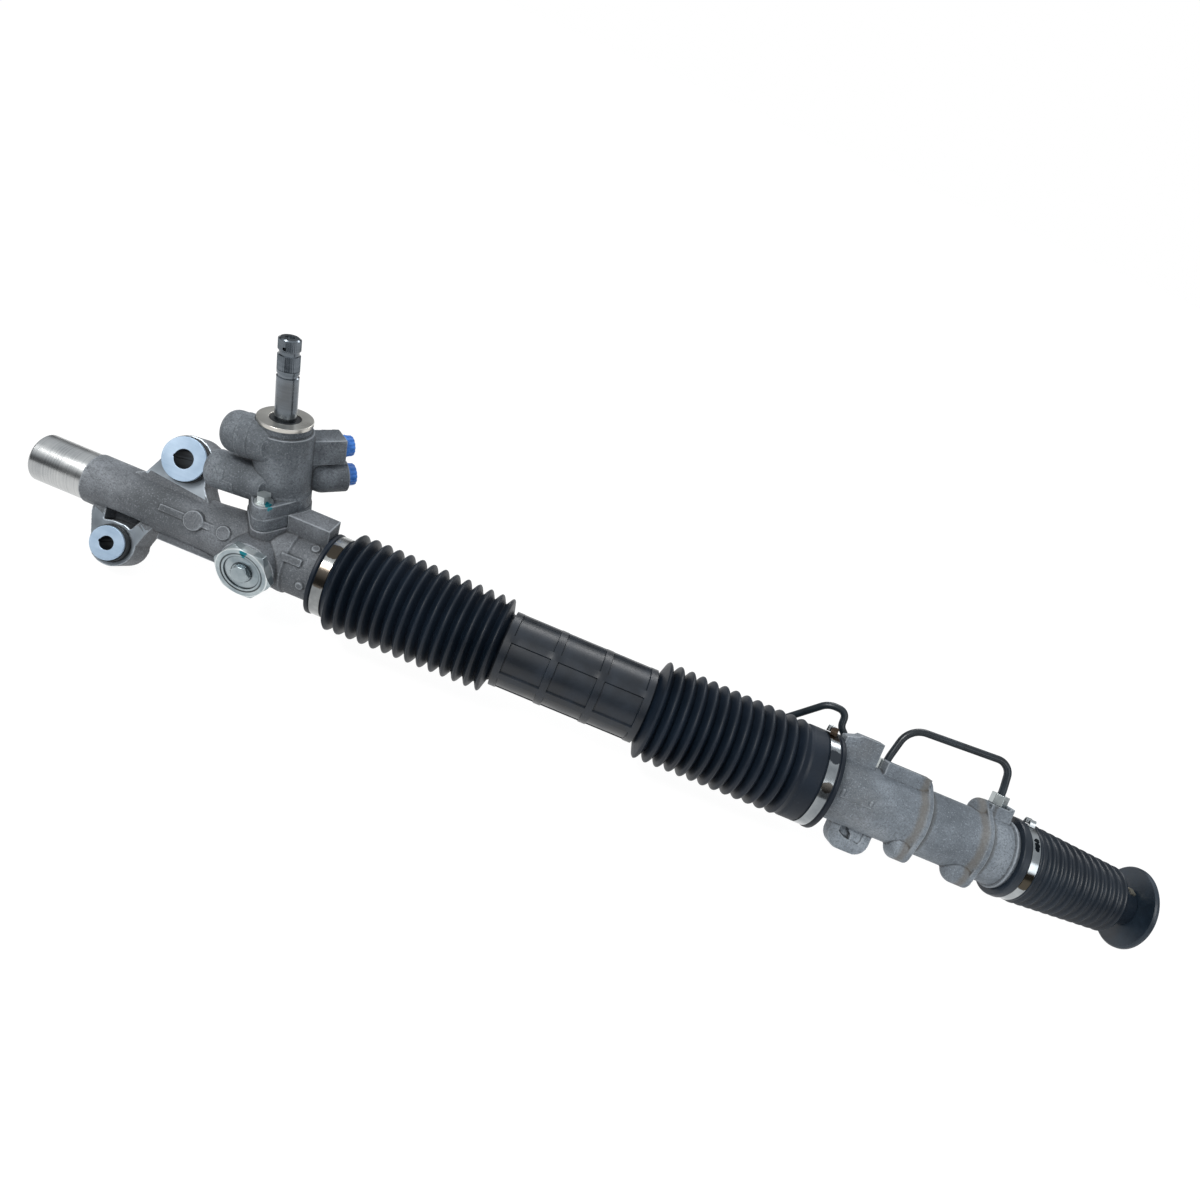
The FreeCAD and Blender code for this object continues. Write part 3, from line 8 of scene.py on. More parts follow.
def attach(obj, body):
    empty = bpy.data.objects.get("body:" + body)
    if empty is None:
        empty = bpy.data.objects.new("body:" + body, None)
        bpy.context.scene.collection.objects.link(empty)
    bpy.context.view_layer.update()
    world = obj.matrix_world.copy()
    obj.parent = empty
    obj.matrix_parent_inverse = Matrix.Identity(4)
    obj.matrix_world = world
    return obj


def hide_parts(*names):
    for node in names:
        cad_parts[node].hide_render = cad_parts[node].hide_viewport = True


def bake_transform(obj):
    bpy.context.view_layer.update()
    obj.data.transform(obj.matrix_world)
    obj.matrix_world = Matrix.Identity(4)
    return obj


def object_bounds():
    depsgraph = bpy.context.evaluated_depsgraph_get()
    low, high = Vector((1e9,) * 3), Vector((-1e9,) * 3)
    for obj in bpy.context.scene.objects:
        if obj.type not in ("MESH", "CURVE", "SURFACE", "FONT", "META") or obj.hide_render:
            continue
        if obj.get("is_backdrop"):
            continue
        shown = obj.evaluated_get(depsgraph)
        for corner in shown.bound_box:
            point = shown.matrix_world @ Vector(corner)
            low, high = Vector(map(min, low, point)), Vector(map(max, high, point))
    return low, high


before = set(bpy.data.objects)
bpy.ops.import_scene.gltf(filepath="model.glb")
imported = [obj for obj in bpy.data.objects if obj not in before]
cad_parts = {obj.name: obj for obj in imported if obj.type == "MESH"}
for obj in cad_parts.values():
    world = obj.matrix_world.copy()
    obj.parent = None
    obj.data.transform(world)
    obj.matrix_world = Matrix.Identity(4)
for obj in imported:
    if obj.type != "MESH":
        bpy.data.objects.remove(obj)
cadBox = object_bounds()
mm = 0.001
print("frame loaded:", len(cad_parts), "nodes")

pinionPlace = (-0.277, 0.0175, 0)
# The mounting face leans back from the upright, so its own back and up directions place what is set round the rack
tilt = math.radians(30)
mountBack = Vector((0, math.cos(tilt), -math.sin(tilt)))
mountUp = Vector((0, math.sin(tilt), math.cos(tilt)))


def aroundAxis(x, radius, angle):
    # A place in metres from millimetres along the rack and out from it, and degrees up from the mount's front
    turn = math.radians(angle)
    return (mountUp * math.sin(turn) * radius - mountBack * math.cos(turn) * radius + Vector((x, 0, 0))) * mm


# The camera stands in front of the guide nut side and looks down at the rack
camera = {"place": (-0.025, -0.5495, 0.4336), "right": (0.9216, 0.1860, 0.3408),
          "down": (0.3871, -0.5069, -0.7702), "ahead": (0.0295, 0.8417, -0.5391), "lens": 24.72, "sensor": 36}


def addCamera():
    data = bpy.data.cameras.new("camera")
    data.sensor_width = camera["sensor"]
    data.sensor_fit = "HORIZONTAL"
    data.lens = camera["lens"]
    data.clip_start = 0.01
    eye = bpy.data.objects.new("camera", data)
    right, up = Vector(camera["right"]), -Vector(camera["down"])
    back = -Vector(camera["ahead"])
    turn = Matrix((right, up, back)).transposed().to_4x4()
    eye.matrix_world = Matrix.Translation(Vector(camera["place"])) @ turn
    bpy.context.collection.objects.link(eye)
    bpy.context.scene.camera = eye


addCamera()


# Shader maths: + - * on sockets add their own nodes

class Sock:
    def __init__(self, graph, socket):
        self.graph = graph
        self.socket = socket

    def maths(self, operation, *others):
        return self.graph.node("ShaderNodeMath", {"operation": operation}, [self, *others])

    def __add__(self, other):
        return self.maths("ADD", other)

    def __radd__(self, other):
        return self.maths("ADD", other)

    def __sub__(self, other):
        return self.maths("SUBTRACT", other)

    def __rsub__(self, other):
        return self.graph.node("ShaderNodeMath", {"operation": "SUBTRACT"}, [other, self])

    def __mul__(self, other):
        return self.maths("MULTIPLY", other)

    def __rmul__(self, other):
        return self.maths("MULTIPLY", other)

    def clamped(self):
        return self.graph.node("ShaderNodeClamp", {}, [self])


class Graph:
    # The node tree of a new material, or of the world when that is given
    def __init__(self, name, owner=None):
        self.material = owner or bpy.data.materials.new(name)
        self.material.use_nodes = True
        self.tree = self.material.node_tree
        self.shader = self.tree.nodes.get("Principled BSDF")

    def node(self, kind, settings, inputs, output=0):
        made = self.tree.nodes.new(kind)
        for key, value in settings.items():
            if key == "stops":
                ramp = made.color_ramp
                while len(ramp.elements) < len(value):
                    ramp.elements.new(0.5)
                for element, (place, colour) in zip(ramp.elements, value):
                    element.position = place
                    element.color = colour
            else:
                setattr(made, key, value)
        pairs = inputs.items() if isinstance(inputs, dict) else enumerate(inputs)
        for key, value in pairs:
            if isinstance(value, Sock):
                self.tree.links.new(value.socket, made.inputs[key])
            else:
                made.inputs[key].default_value = value
        return Sock(self, made.outputs[output])

    def place(self):
        return self.node("ShaderNodeTexCoord", {}, [], "Object")

    def ray(self, kind):
        return self.node("ShaderNodeLightPath", {}, [], kind)

    def stretched(self, scale):
        return self.node("ShaderNodeMapping", {"vector_type": "POINT"}, {"Vector": self.place(), "Scale": scale})

    def noise(self, scale, detail, rough, at=None):
        inputs = {"Vector": at or self.place(), "Scale": scale, "Detail": detail, "Roughness": rough}
        return self.node("ShaderNodeTexNoise", {}, inputs, "Fac")

    def cells(self, scale):
        return self.node("ShaderNodeTexVoronoi", {}, {"Vector": self.place(), "Scale": scale}, "Distance")

    def ramp(self, value, stops):
        return self.node("ShaderNodeValToRGB", {"stops": stops}, [value])

    def level(self, value, low, high, newLow=0.0, newHigh=1.0):
        return self.node("ShaderNodeMapRange", {"clamp": True}, [value, low, high, newLow, newHigh])

    def mixed(self, share, first, second):
        inputs = {0: share, 6: first, 7: second}
        return self.node("ShaderNodeMix", {"data_type": "RGBA"}, inputs, 2)

    def distance(self, first, second):
        return self.node("ShaderNodeVectorMath", {"operation": "DISTANCE"}, [first, second], "Value")

    def absolute(self, value):
        return self.node("ShaderNodeMath", {"operation": "ABSOLUTE"}, [value])

    def ragged(self, scale, detail, rough, reach):
        # Noise about zero, for edges that wander
        return (self.noise(scale, detail, rough) - 0.5) * reach

    def dab(self, centre, radius):
        # A ragged round dab of paint at a place on the object
        offset = self.distance(self.place(), centre) + self.ragged(420, 3, 0.7, 4 * mm)
        return self.level(offset, radius * 0.9, radius, 1.0, 0.0)

    def bump(self, height, strength, distance):
        inputs = {"Height": height, "Strength": strength, "Distance": distance}
        return self.node("ShaderNodeBump", {}, inputs, "Normal")

    def finish(self, colour, rough, normal=None, metal=0.0, specular=0.5):
        for name, value in (("Base Color", colour), ("Roughness", rough), ("Normal", normal), ("Metallic", metal)):
            if isinstance(value, Sock):
                self.tree.links.new(value.socket, self.shader.inputs[name])
            elif value is not None:
                self.shader.inputs[name].default_value = value
        self.shader.inputs["Specular IOR Level"].default_value = specular
        return self.material


def shade(hexColour):
    # A screen colour such as "71726f" as linear light
    parts = [int(hexColour[i:i + 2], 16) / 255 for i in (0, 2, 4)]
    linear = [p / 12.92 if p <= 0.04045 else ((p + 0.055) / 1.055) ** 2.4 for p in parts]
    return (*linear, 1.0)


inspectionPaint = shade("23808c")
# The dark tone is painted shade for the castings' hollows; the pale tone is for their sharp edges, part wear and part
# painted highlight
castLook = {"stainShare": 0.3, "hollowShade": "2b2d2f", "wearAndHighlight": "a9afb5", "rough": 0.58, "metal": 0.25}


def castMetal(name, low, middle, high, stain, grain=1.0, spots=(), shadeBands=()):
    # Sand or die cast skin: faint clouds, fine grain, pits, brown stains, painted shade in the hollows, bright edges
    # that are part wear and part painted highlight, and where given bands of painted shade across the rack axis
    g = Graph(name)
    clouds = g.noise(22, 4, 0.6)
    base = g.ramp(clouds, [(0.28, shade(low)), (0.50, shade(middle)), (0.74, shade(high))])
    stained = g.level(g.noise(13, 3, 0.5), 0.56, 0.74, 0, castLook["stainShare"])
    base = g.mixed(stained, base, shade(stain))
    speckle = g.level(g.noise(620, 4, 0.8), 0.36, 0.54, 0.85, 0.0)
    base = g.mixed(speckle, base, shade(low))
    glints = g.level(g.noise(760, 3, 0.75), 0.56, 0.68, 0.0, 0.75)
    base = g.mixed(glints, base, shade(high))
    curve = g.node("ShaderNodeNewGeometry", {}, [], "Pointiness") + g.ragged(500, 3, 0.6, 0.02)
    # Painted shade: the dark tone darkens the concave places that pointiness finds
    base = g.mixed(g.level(curve, 0.470, 0.495, 0.8, 0.0), base, shade(castLook["hollowShade"]))
    # Part edge wear and part painted highlight: the pale tone brightens the sharp convex edges
    base = g.mixed(g.level(curve, 0.511, 0.535, 0.0, 0.5), base, shade(castLook["wearAndHighlight"]))
    along = g.node("ShaderNodeSeparateXYZ", {}, [g.place()], "X")
    # Painted shade in bands across the rack axis, each with a place, a reach and a tone
    for place, reach, tone in shadeBands:
        offset = g.absolute(along - place) + g.ragged(160, 3, 0.6, 3 * mm)
        base = g.mixed(g.level(offset, reach * 0.3, reach, 0.55, 0.0), base, shade(tone))
    pits = g.level(g.cells(230), 0.05, 0.16, -1.0, 0.0)
    for centre, radius in spots:
        base = g.mixed(g.dab(centre, radius), base, inspectionPaint)
    height = g.noise(620, 4, 0.75) + 0.7 * g.noise(240, 2, 0.5) + 0.5 * pits
    uneven = g.level(clouds, 0.3, 0.7, castLook["rough"] + 0.06, castLook["rough"] - 0.06)
    return g.finish(base, uneven, g.bump(height, 0.7 * grain, 1.0 * mm), castLook["metal"])


def brushedMetal(name, dark, light, axis, rough, lines=420, metal=1.0, stain=None, strength=0.08,
                 lineShare=0.3, reflectionsAndHoles=()):
    # Turned or drawn metal: fine lines round the axis, or along it
    g = Graph(name)
    scale = {"x": (lines, 3, 3), "alongX": (2.0, 160, 160), "z": (3, 3, lines), "flat": (24, 24, 24)}[axis]
    fine = g.noise(1.0, 2, 0.6, g.stretched(scale))
    cloudy = g.noise(34, 3, 0.6)
    tone = g.ramp(fine * lineShare + cloudy * (1 - lineShare), [(0.30, shade(dark)), (0.68, shade(light))])
    if stain:
        tone = g.mixed(g.level(g.noise(18, 3, 0.6), 0.55, 0.75, 0, 0.6), tone, shade(stain))
    # Dabs of given tones: on the bands these are painted reflections, and the small band's row of three near-black
    # dabs stands for holes in its tail
    for centre, radius, patch in reflectionsAndHoles:
        tone = g.mixed(g.dab(centre, radius), tone, shade(patch))
    uneven = g.level(cloudy, 0.3, 0.7, rough - 0.05, rough + 0.1)
    return g.finish(tone, uneven, g.bump(fine, strength, 0.2 * mm), metal)


def mouldedRubber(name, dark, light, rough, dust, specular=0.5):
    # Moulded rubber: faint bloom in clouds, tiny dimples
    g = Graph(name)
    clouds = g.noise(16, 4, 0.62)
    base = g.ramp(clouds, [(0.34, shade(dark)), (0.70, shade(light))])
    specks = g.level(g.noise(700, 2, 0.7), 0.66, 0.78, 0, dust)
    base = g.mixed(specks, base, shade("5a6266"))
    height = g.noise(1100, 2, 0.6) + 0.6 * g.noise(90, 3, 0.5)
    uneven = g.level(clouds, 0.3, 0.7, rough - 0.08, rough + 0.1)
    return g.finish(base, uneven, g.bump(height, 0.25, 0.3 * mm), 0.0, specular)


def coated(name, dark, light, rough):
    # A smooth painted or passivated coat, a little cloudy
    g = Graph(name)
    clouds = g.noise(40, 3, 0.6)
    base = g.ramp(clouds, [(0.35, shade(dark)), (0.68, shade(light))])
    uneven = g.level(clouds, 0.3, 0.7, rough - 0.06, rough + 0.08)
    return g.finish(base, uneven, g.bump(g.noise(600, 2, 0.5), 0.12, 0.2 * mm), 0.15)


def plastic(name, dark, light, rough, grain=0.15):
    # Moulded plastic with a fine grain
    g = Graph(name)
    clouds = g.noise(60, 3, 0.5)
    base = g.ramp(clouds, [(0.35, shade(dark)), (0.7, shade(light))])
    uneven = g.level(clouds, 0.3, 0.7, rough - 0.05, rough + 0.06)
    return g.finish(base, uneven, g.bump(g.noise(1300, 2, 0.6), grain, 0.2 * mm))


def paintMarked(name, dark, light, spots=(), paintedRings=()):
    # Plated steel with dabs of teal inspection paint, and rings about the guide's axis: dark rings are painted shade
    # in the grooves and joints, a pale ring a painted highlight
    g = Graph(name)
    cloudy = g.noise(60, 3, 0.6)
    tone = g.ramp(cloudy, [(0.32, shade(dark)), (0.66, shade(light))])
    rough = g.level(cloudy, 0.3, 0.7, 0.26, 0.42)
    for centre, radius in spots:
        mask = g.dab(centre, radius)
        tone = g.mixed(mask, tone, inspectionPaint)
        rough = rough + mask * 0.2
    if paintedRings:
        flat = g.node("ShaderNodeVectorMath", {"operation": "MULTIPLY"}, [g.place(), (1, 0, 1)], "Vector")
        out = g.distance(flat, (pinionPlace[0], 0, 0))
    # Each ring is painted light: a dark tone for shade in a groove or joint, a pale tone for a highlight
    for radius, width, paintedRingTone in paintedRings:
        near = g.level(g.absolute(out - radius * mm), width * 0.4 * mm, width * mm, 0.85, 0.0)
        tone = g.mixed(near, tone, shade(paintedRingTone))
    return g.finish(tone, rough, g.bump(g.noise(500, 2, 0.6), 0.1, 0.2 * mm), 0.85)


finishes = {
    # On the guide's screw and nut the dark rings are painted shade in the grooves and joints, and the nut's pale ring
    # is a painted highlight on its chamfer
    "screwPlate": paintMarked("screwPlate", "7c888e", "a7b1b5", [((-0.2772, -0.0395, 0.0165), 0.0022)],
                              [(17.3, 0.9, "262b2e"), (14.7, 0.6, "4a5257"), (8.4, 0.6, "3a4145")]),
    "nutPlate": paintMarked("nutPlate", "808c93", "b0babd", [((-0.2772, -0.0403, 0.0200), 0.0034)],
                            [(17.3, 0.9, "262b2e"), (21.6, 0.7, "dfe5e6")]),
    "boltPlate": paintMarked("boltPlate", "98a1a4", "cdd3d3", [((-0.2740, -0.0165, 0.0535), 0.0030)]),
    "gearCast": castMetal("gearCast", "484c50", "606469", "878c92", "5a544a"),
    "valveCast": castMetal("valveCast", "43484d", "5b6167", "878e95", "504a42", 1.1,
                           spots=[((-0.2705, -0.0185, 0.0525), 0.0036)]),
    # The cylinder's bands are painted shade beside each flange: brown in the cove before it and a dark line at its
    # far base
    "cylinderCast": castMetal("cylinderCast", "575e65", "737b83", "979fa7", "6b6356", 0.9,
                              shadeBands=[(0.3085, 0.0045, "665f54"), (0.3180, 0.003, "4b4a46"),
                                     (0.3640, 0.0045, "665f54"), (0.3735, 0.003, "4b4a46")]),
    "milledFace": brushedMetal("milledFace", "8b949d", "bcc5cd", "flat", 0.38, strength=0.2),
    "drawnTube": brushedMetal("drawnTube", "989b9d", "cfd0cf", "x", 0.27, 900, stain="8a8378", lineShare=0.5),
    "innerTube": brushedMetal("innerTube", "6d7174", "94989b", "alongX", 0.36),
    "zincPlate": brushedMetal("zincPlate", "78848b", "a3aeb3", "flat", 0.30),
    "turnedSteel": brushedMetal("turnedSteel", "b3b1ab", "d9d6cf", "z", 0.30, 700),
    "groundShaft": brushedMetal("groundShaft", "4f565c", "7b8289", "z", 0.2, 500, stain="504c46"),
    "rackSteel": brushedMetal("rackSteel", "85898c", "b4b8ba", "x", 0.26, 700),
    "springSteel": brushedMetal("springSteel", "4d5154", "777c80", "flat", 0.38),
    # The larger dark and brown dabs on the bands are painted reflections; the small band's three near-black dabs
    # stand for holes in its tail
    "leftBand": brushedMetal("leftBand", "676a6c", "b0b2b1", "flat", 0.16, 300, strength=0.03, lineShare=0.2,
                             reflectionsAndHoles=[(aroundAxis(-217.3, 34.9, 42), 0.008, "4a443c"),
                                      (aroundAxis(-217.3, 34.9, 4), 0.011, "565049")]),
    "rightBand": brushedMetal("rightBand", "6c7277", "b7bbbc", "flat", 0.16, 300, strength=0.03, lineShare=0.2,
                              reflectionsAndHoles=[(aroundAxis(221.0, 41.2, 40), 0.0065, "41464b"),
                                       (aroundAxis(221.0, 41.2, 76), 0.008, "4c4036"),
                                       (aroundAxis(221.0, 41.2, 3), 0.005, "4e4b47")]),
    "smallBand": brushedMetal("smallBand", "6c7277", "b7bbbc", "flat", 0.16, 300, strength=0.03, lineShare=0.2,
                              reflectionsAndHoles=[(aroundAxis(408.0, 33.9, 49), 0.0026, "14191e"),
                                       (aroundAxis(408.0, 33.9, 43), 0.0026, "14191e"),
                                       (aroundAxis(408.0, 33.9, 37), 0.0024, "14191e"),
                                       (aroundAxis(407.5, 33.9, -14), 0.0085, "4a453c")]),
    "bushSteel": brushedMetal("bushSteel", "96aec6", "bccfe2", "z", 0.42, 300, metal=0.45, strength=0.05),
    # Painted shade for the walls inside the bushes' holes
    "shadedBore": brushedMetal("shadedBore", "2a3137", "475058", "flat", 0.55),
    "aluminiumTurned": brushedMetal("aluminiumTurned", "9da2a6", "c4c8ca", "x", 0.34, 600),
    "bootRubber": mouldedRubber("bootRubber", "07101a", "0f1b28", 0.46, 0.2, 0.28),
    "smallBootRubber": mouldedRubber("smallBootRubber", "101923", "1c2834", 0.42, 0.3, 0.4),
    "bushRubber": mouldedRubber("bushRubber", "15191c", "1f2427", 0.55, 0.12),
    "sealRubber": mouldedRubber("sealRubber", "181b1d", "24282a", 0.5, 0.1),
    "sleevePlastic": plastic("sleevePlastic", "081019", "101b27", 0.38, 0.2),
    "ringPlastic": plastic("ringPlastic", "2a2522", "3b3531", 0.45),
    "capPlastic": plastic("capPlastic", "2c66b4", "4686d8", 0.3),
    "pipeCoat": coated("pipeCoat", "161c21", "263038", 0.34),
    "pipeNut": brushedMetal("pipeNut", "98a2a6", "c9cdcb", "flat", 0.3),
    "endDisc": coated("endDisc", "16212c", "22303d", 0.42),
    "clipSteel": brushedMetal("clipSteel", "c9c3ae", "f0ead8", "flat", 0.35),
}
print("finishes made:", len(finishes))


# Shape tools

def linked(name, mesh):
    piece = bpy.data.objects.new(name, mesh)
    bpy.context.collection.objects.link(piece)
    return piece


def meshFrom(work, name):
    mesh = bpy.data.meshes.new(name)
    work.to_mesh(mesh)
    work.free()
    return mesh


def cadCopy(node, name):
    # A welded copy of a CAD node's mesh, because the node itself is loose triangles
    work = bmesh.new()
    work.from_mesh(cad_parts[node].data)
    bmesh.ops.remove_doubles(work, verts=work.verts, dist=2e-6)
    return linked(name, meshFrom(work, name))


def applied(piece):
    # Evaluates the modifiers into a plain mesh
    graph = bpy.context.evaluated_depsgraph_get()
    mesh = bpy.data.meshes.new_from_object(piece.evaluated_get(graph))
    old = piece.data
    piece.modifiers.clear()
    piece.data = mesh
    bpy.data.meshes.remove(old)
    return piece


def coloured(piece, *names):
    piece.data.materials.clear()
    for name in names:
        piece.data.materials.append(finishes[name])
    return piece


def smooth(piece, angle=None):
    for face in piece.data.polygons:
        face.use_smooth = True
    if angle is not None:
        piece.data.set_sharp_from_angle(angle=math.radians(angle))
    return piece


def softEdges(node, finish, slot, body, width):
    # The CAD shape with its sharp edges broken, as a machined or moulded piece has
    piece = cadCopy(node, node + ".soft")
    work = bmesh.new()
    work.from_mesh(piece.data)
    bmesh.ops.dissolve_limit(work, angle_limit=math.radians(0.5), verts=work.verts, edges=work.edges)
    work.to_mesh(piece.data)
    work.free()
    smooth(piece)
    bevel = piece.modifiers.new("bevel", "BEVEL")
    bevel.width = width * mm
    bevel.segments = 2
    bevel.limit_method = "ANGLE"
    bevel.angle_limit = math.radians(32)
    bevel.use_clamp_overlap = True
    weighted = piece.modifiers.new("weighted", "WEIGHTED_NORMAL")
    weighted.mode = "FACE_AREA_WITH_ANGLE"
    weighted.weight = 80
    applied(piece)
    coloured(piece, finish)
    return placed(piece, body, slot, node)


def placed(piece, body, slot, *replacedNodes):
    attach(piece, body)
    if replacedNodes:
        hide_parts(*replacedNodes)
    return piece


mostTriangles = 185000  # for each casting


def castSkin(node, slot, cell, rounds, *names):
    # The casting with its corners blended, by remeshing it finely and relaxing the surface
    piece = cadCopy(node, node + ".cast")
    remesh = piece.modifiers.new("cells", "REMESH")
    remesh.mode = "VOXEL"
    remesh.voxel_size = cell * mm
    relax = piece.modifiers.new("relax", "SMOOTH")
    relax.factor = 0.5
    relax.iterations = rounds
    applied(piece)
    triangles = 2 * len(piece.data.polygons)
    if triangles > mostTriangles:
        fewer = piece.modifiers.new("fewer", "DECIMATE")
        fewer.ratio = mostTriangles / triangles
        applied(piece)
    print(node, "cast skin triangles:", triangles, "kept:", len(piece.data.polygons))
    smooth(piece)
    coloured(piece, *names)
    return placed(piece, "housing", slot, node)


def markFaces(piece, index, test):
    for face in piece.data.polygons:
        if test(face.center, face.normal):
            face.material_index = index


# Bellows by Geometry Nodes: a wavy profile turned round the rack axis

def bellowsTree():
    tree = bpy.data.node_groups.new("bellows", "GeometryNodeTree")
    sockets = [("Start", 0.0), ("End", 1.0), ("First Crest", 0.04), ("Last Crest", 0.04), ("First Root", 0.035),
               ("Last Root", 0.035), ("Folds", 10.0), ("Fullness", 1.0)]
    tree.interface.new_socket("Geometry", in_out="OUTPUT", socket_type="NodeSocketGeometry")
    for name, value in sockets:
        item = tree.interface.new_socket(name, in_out="INPUT", socket_type="NodeSocketFloat")
        item.default_value = value
    for name, value in (("Rows", 200), ("Around", 96)):
        item = tree.interface.new_socket(name, in_out="INPUT", socket_type="NodeSocketInt")
        item.default_value = value
    tree.interface.new_socket("Material", in_out="INPUT", socket_type="NodeSocketMaterial")

    def add(kind, settings, inputs):
        made = tree.nodes.new(kind)
        for key, value in settings.items():
            setattr(made, key, value)
        for key, value in inputs.items():
            if hasattr(value, "is_output"):
                tree.links.new(value, made.inputs[key])
            else:
                made.inputs[key].default_value = value
        return made

    def maths(operation, first, second=0.0):
        return add("ShaderNodeMath", {"operation": operation}, {0: first, 1: second}).outputs[0]

    given = tree.nodes.new("NodeGroupInput").outputs
    grid = add("GeometryNodeMeshGrid", {}, {"Size X": 1.0, "Size Y": 1.0, "Vertices X": given["Rows"],
                                            "Vertices Y": given["Around"]})
    spot = add("ShaderNodeSeparateXYZ", {}, {0: add("GeometryNodeInputPosition", {}, {}).outputs[0]})
    along = maths("ADD", spot.outputs[0], 0.5)
    angle = maths("MULTIPLY", maths("ADD", spot.outputs[1], 0.5), -2 * math.pi)

    def between(first, second):
        return maths("ADD", given[first], maths("MULTIPLY", maths("SUBTRACT", given[second], given[first]), along))

    phase = maths("MULTIPLY", maths("MULTIPLY", along, given["Folds"]), 2 * math.pi)
    wave = maths("MULTIPLY", maths("ADD", maths("COSINE", phase), 1.0), 0.5)
    wave = maths("POWER", wave, given["Fullness"])
    root = between("First Root", "Last Root")
    depth = maths("SUBTRACT", between("First Crest", "Last Crest"), root)
    radius = maths("ADD", root, maths("MULTIPLY", depth, wave))
    sideways = maths("MULTIPLY", radius, maths("SINE", angle))
    upwards = maths("MULTIPLY", radius, maths("COSINE", angle))
    place = add("ShaderNodeCombineXYZ", {}, {0: between("Start", "End"), 1: sideways, 2: upwards}).outputs[0]
    moved = add("GeometryNodeSetPosition", {}, {"Geometry": grid.outputs["Mesh"], "Position": place})
    closed = add("GeometryNodeMergeByDistance", {}, {"Geometry": moved.outputs[0], "Distance": 1e-5})
    soft = add("GeometryNodeSetShadeSmooth", {}, {"Geometry": closed.outputs[0]})
    real = add("GeometryNodeRealizeInstances", {}, {"Geometry": soft.outputs[0]})
    dressed = add("GeometryNodeSetMaterial", {}, {"Geometry": real.outputs[0], "Material": given["Material"]})
    ending = tree.nodes.new("NodeGroupOutput")
    tree.links.new(dressed.outputs[0], ending.inputs[0])
    return tree


bellows = bellowsTree()


def bellowsMesh(sizes, finish):
    holder = linked("bellows.work", bpy.data.meshes.new("bellows.work"))
    modifier = holder.modifiers.new("bellows", "NODES")
    modifier.node_group = bellows
    for item in bellows.interface.items_tree:
        if item.in_out == "INPUT" and item.name in sizes:
            modifier[item.identifier] = sizes[item.name]
        if item.name == "Material":
            modifier[item.identifier] = finishes[finish]
    graph = bpy.context.evaluated_depsgraph_get()
    mesh = bpy.data.meshes.new_from_object(holder.evaluated_get(graph))
    bpy.data.objects.remove(holder)
    return mesh


def turned(profile, around=128):
    # A profile of (x, radius) points in millimetres spun round the rack axis
    work = bmesh.new()
    rings = []
    for x, r in profile:
        ring = []
        for i in range(around):
            angle = 2 * math.pi * i / around
            ring.append(work.verts.new((x * mm, r * mm * math.sin(angle), r * mm * math.cos(angle))))
        rings.append(ring)
    for first, second in zip(rings, rings[1:]):
        for i in range(around):
            work.faces.new((first[i], first[(i + 1) % around], second[(i + 1) % around], second[i]))
    bmesh.ops.recalc_face_normals(work, faces=work.faces)
    return meshFrom(work, "turned")


def gathered(name, meshes, finish):
    # Several meshes as one object with one finish
    work = bmesh.new()
    for mesh in meshes:
        work.from_mesh(mesh)
    bmesh.ops.remove_doubles(work, verts=work.verts, dist=5e-6)
    piece = linked(name, meshFrom(work, name))
    coloured(piece, finish)
    for face in piece.data.polygons:
        face.material_index = 0
    return smooth(piece, 50)


def roundedProfile(points, radius, steps=4):
    # Rounds the inner corners of an open profile
    out = [points[0]]
    for before, corner, after in zip(points, points[1:], points[2:]):
        a, b, c = Vector(before), Vector(corner), Vector(after)
        reach = min(radius, (a - b).length * 0.45, (c - b).length * 0.45)
        start = b + (a - b).normalized() * reach
        stop = b + (c - b).normalized() * reach
        for i in range(steps + 1):
            t = i / steps
            out.append(tuple(start * (1 - t) ** 2 + b * 2 * t * (1 - t) + stop * t ** 2))
    out.append(points[-1])
    return out


# Each boot: folds from start to end with their crests and roots, then its turned ends with their corner radius
leftBoot = {
    "folds": 13, "start": -206.0, "end": -70.8, "crests": (43.0, 41.6), "roots": (35.0, 35.0), "fullness": 0.7,
    "rows": 18, "ends": [
        ([(-226.0, 32.1), (-226.1, 35.6), (-223.1, 35.6), (-222.3, 34.0), (-212.2, 34.0), (-211.0, 35.2),
          (-209.4, 37.0), (-207.4, 41.6), (-206.0, 43.0)], 0.8),
        ([(-70.8, 41.6), (-69.6, 40.6), (-66.6, 30.2), (-65.2, 29.2), (-56.0, 29.2), (-56.0, 27.7)], 0.8)]}
rightBoot = {
    "folds": 12, "start": 72.0, "end": 195.96, "crests": (43.4, 42.2), "roots": (35.2, 35.2), "fullness": 0.55,
    "rows": 18, "ends": [
        ([(195.96, 42.2), (197.2, 41.6), (200.6, 39.8), (203.0, 41.0), (215.0, 41.0), (215.8, 40.3), (226.2, 40.3),
          (227.0, 42.0), (230.3, 42.0), (230.3, 38.1)], 0.8),
        ([(56.6, 27.7), (56.6, 29.2), (65.2, 29.2), (66.6, 30.4), (70.8, 42.4), (72.0, 43.4)], 0.8)]}
smallBoot = {
    "folds": 10, "start": 417.0, "end": 495.0, "crests": (34.6, 28.7), "roots": (31.0, 25.1), "fullness": 1.7,
    "rows": 16, "ends": [
        ([(396.3, 29.5), (396.3, 34.6), (397.8, 35.2), (402.8, 35.2), (403.6, 33.0), (411.4, 33.0), (412.2, 34.2),
          (413.2, 34.2), (414.4, 32.4), (415.4, 32.6), (417.0, 34.6)], 0.6),
        ([(495.0, 28.7), (497.2, 27.4), (498.6, 18.0), (500.0, 16.0), (515.3, 16.0), (515.3, 14.0)], 1.4)]}


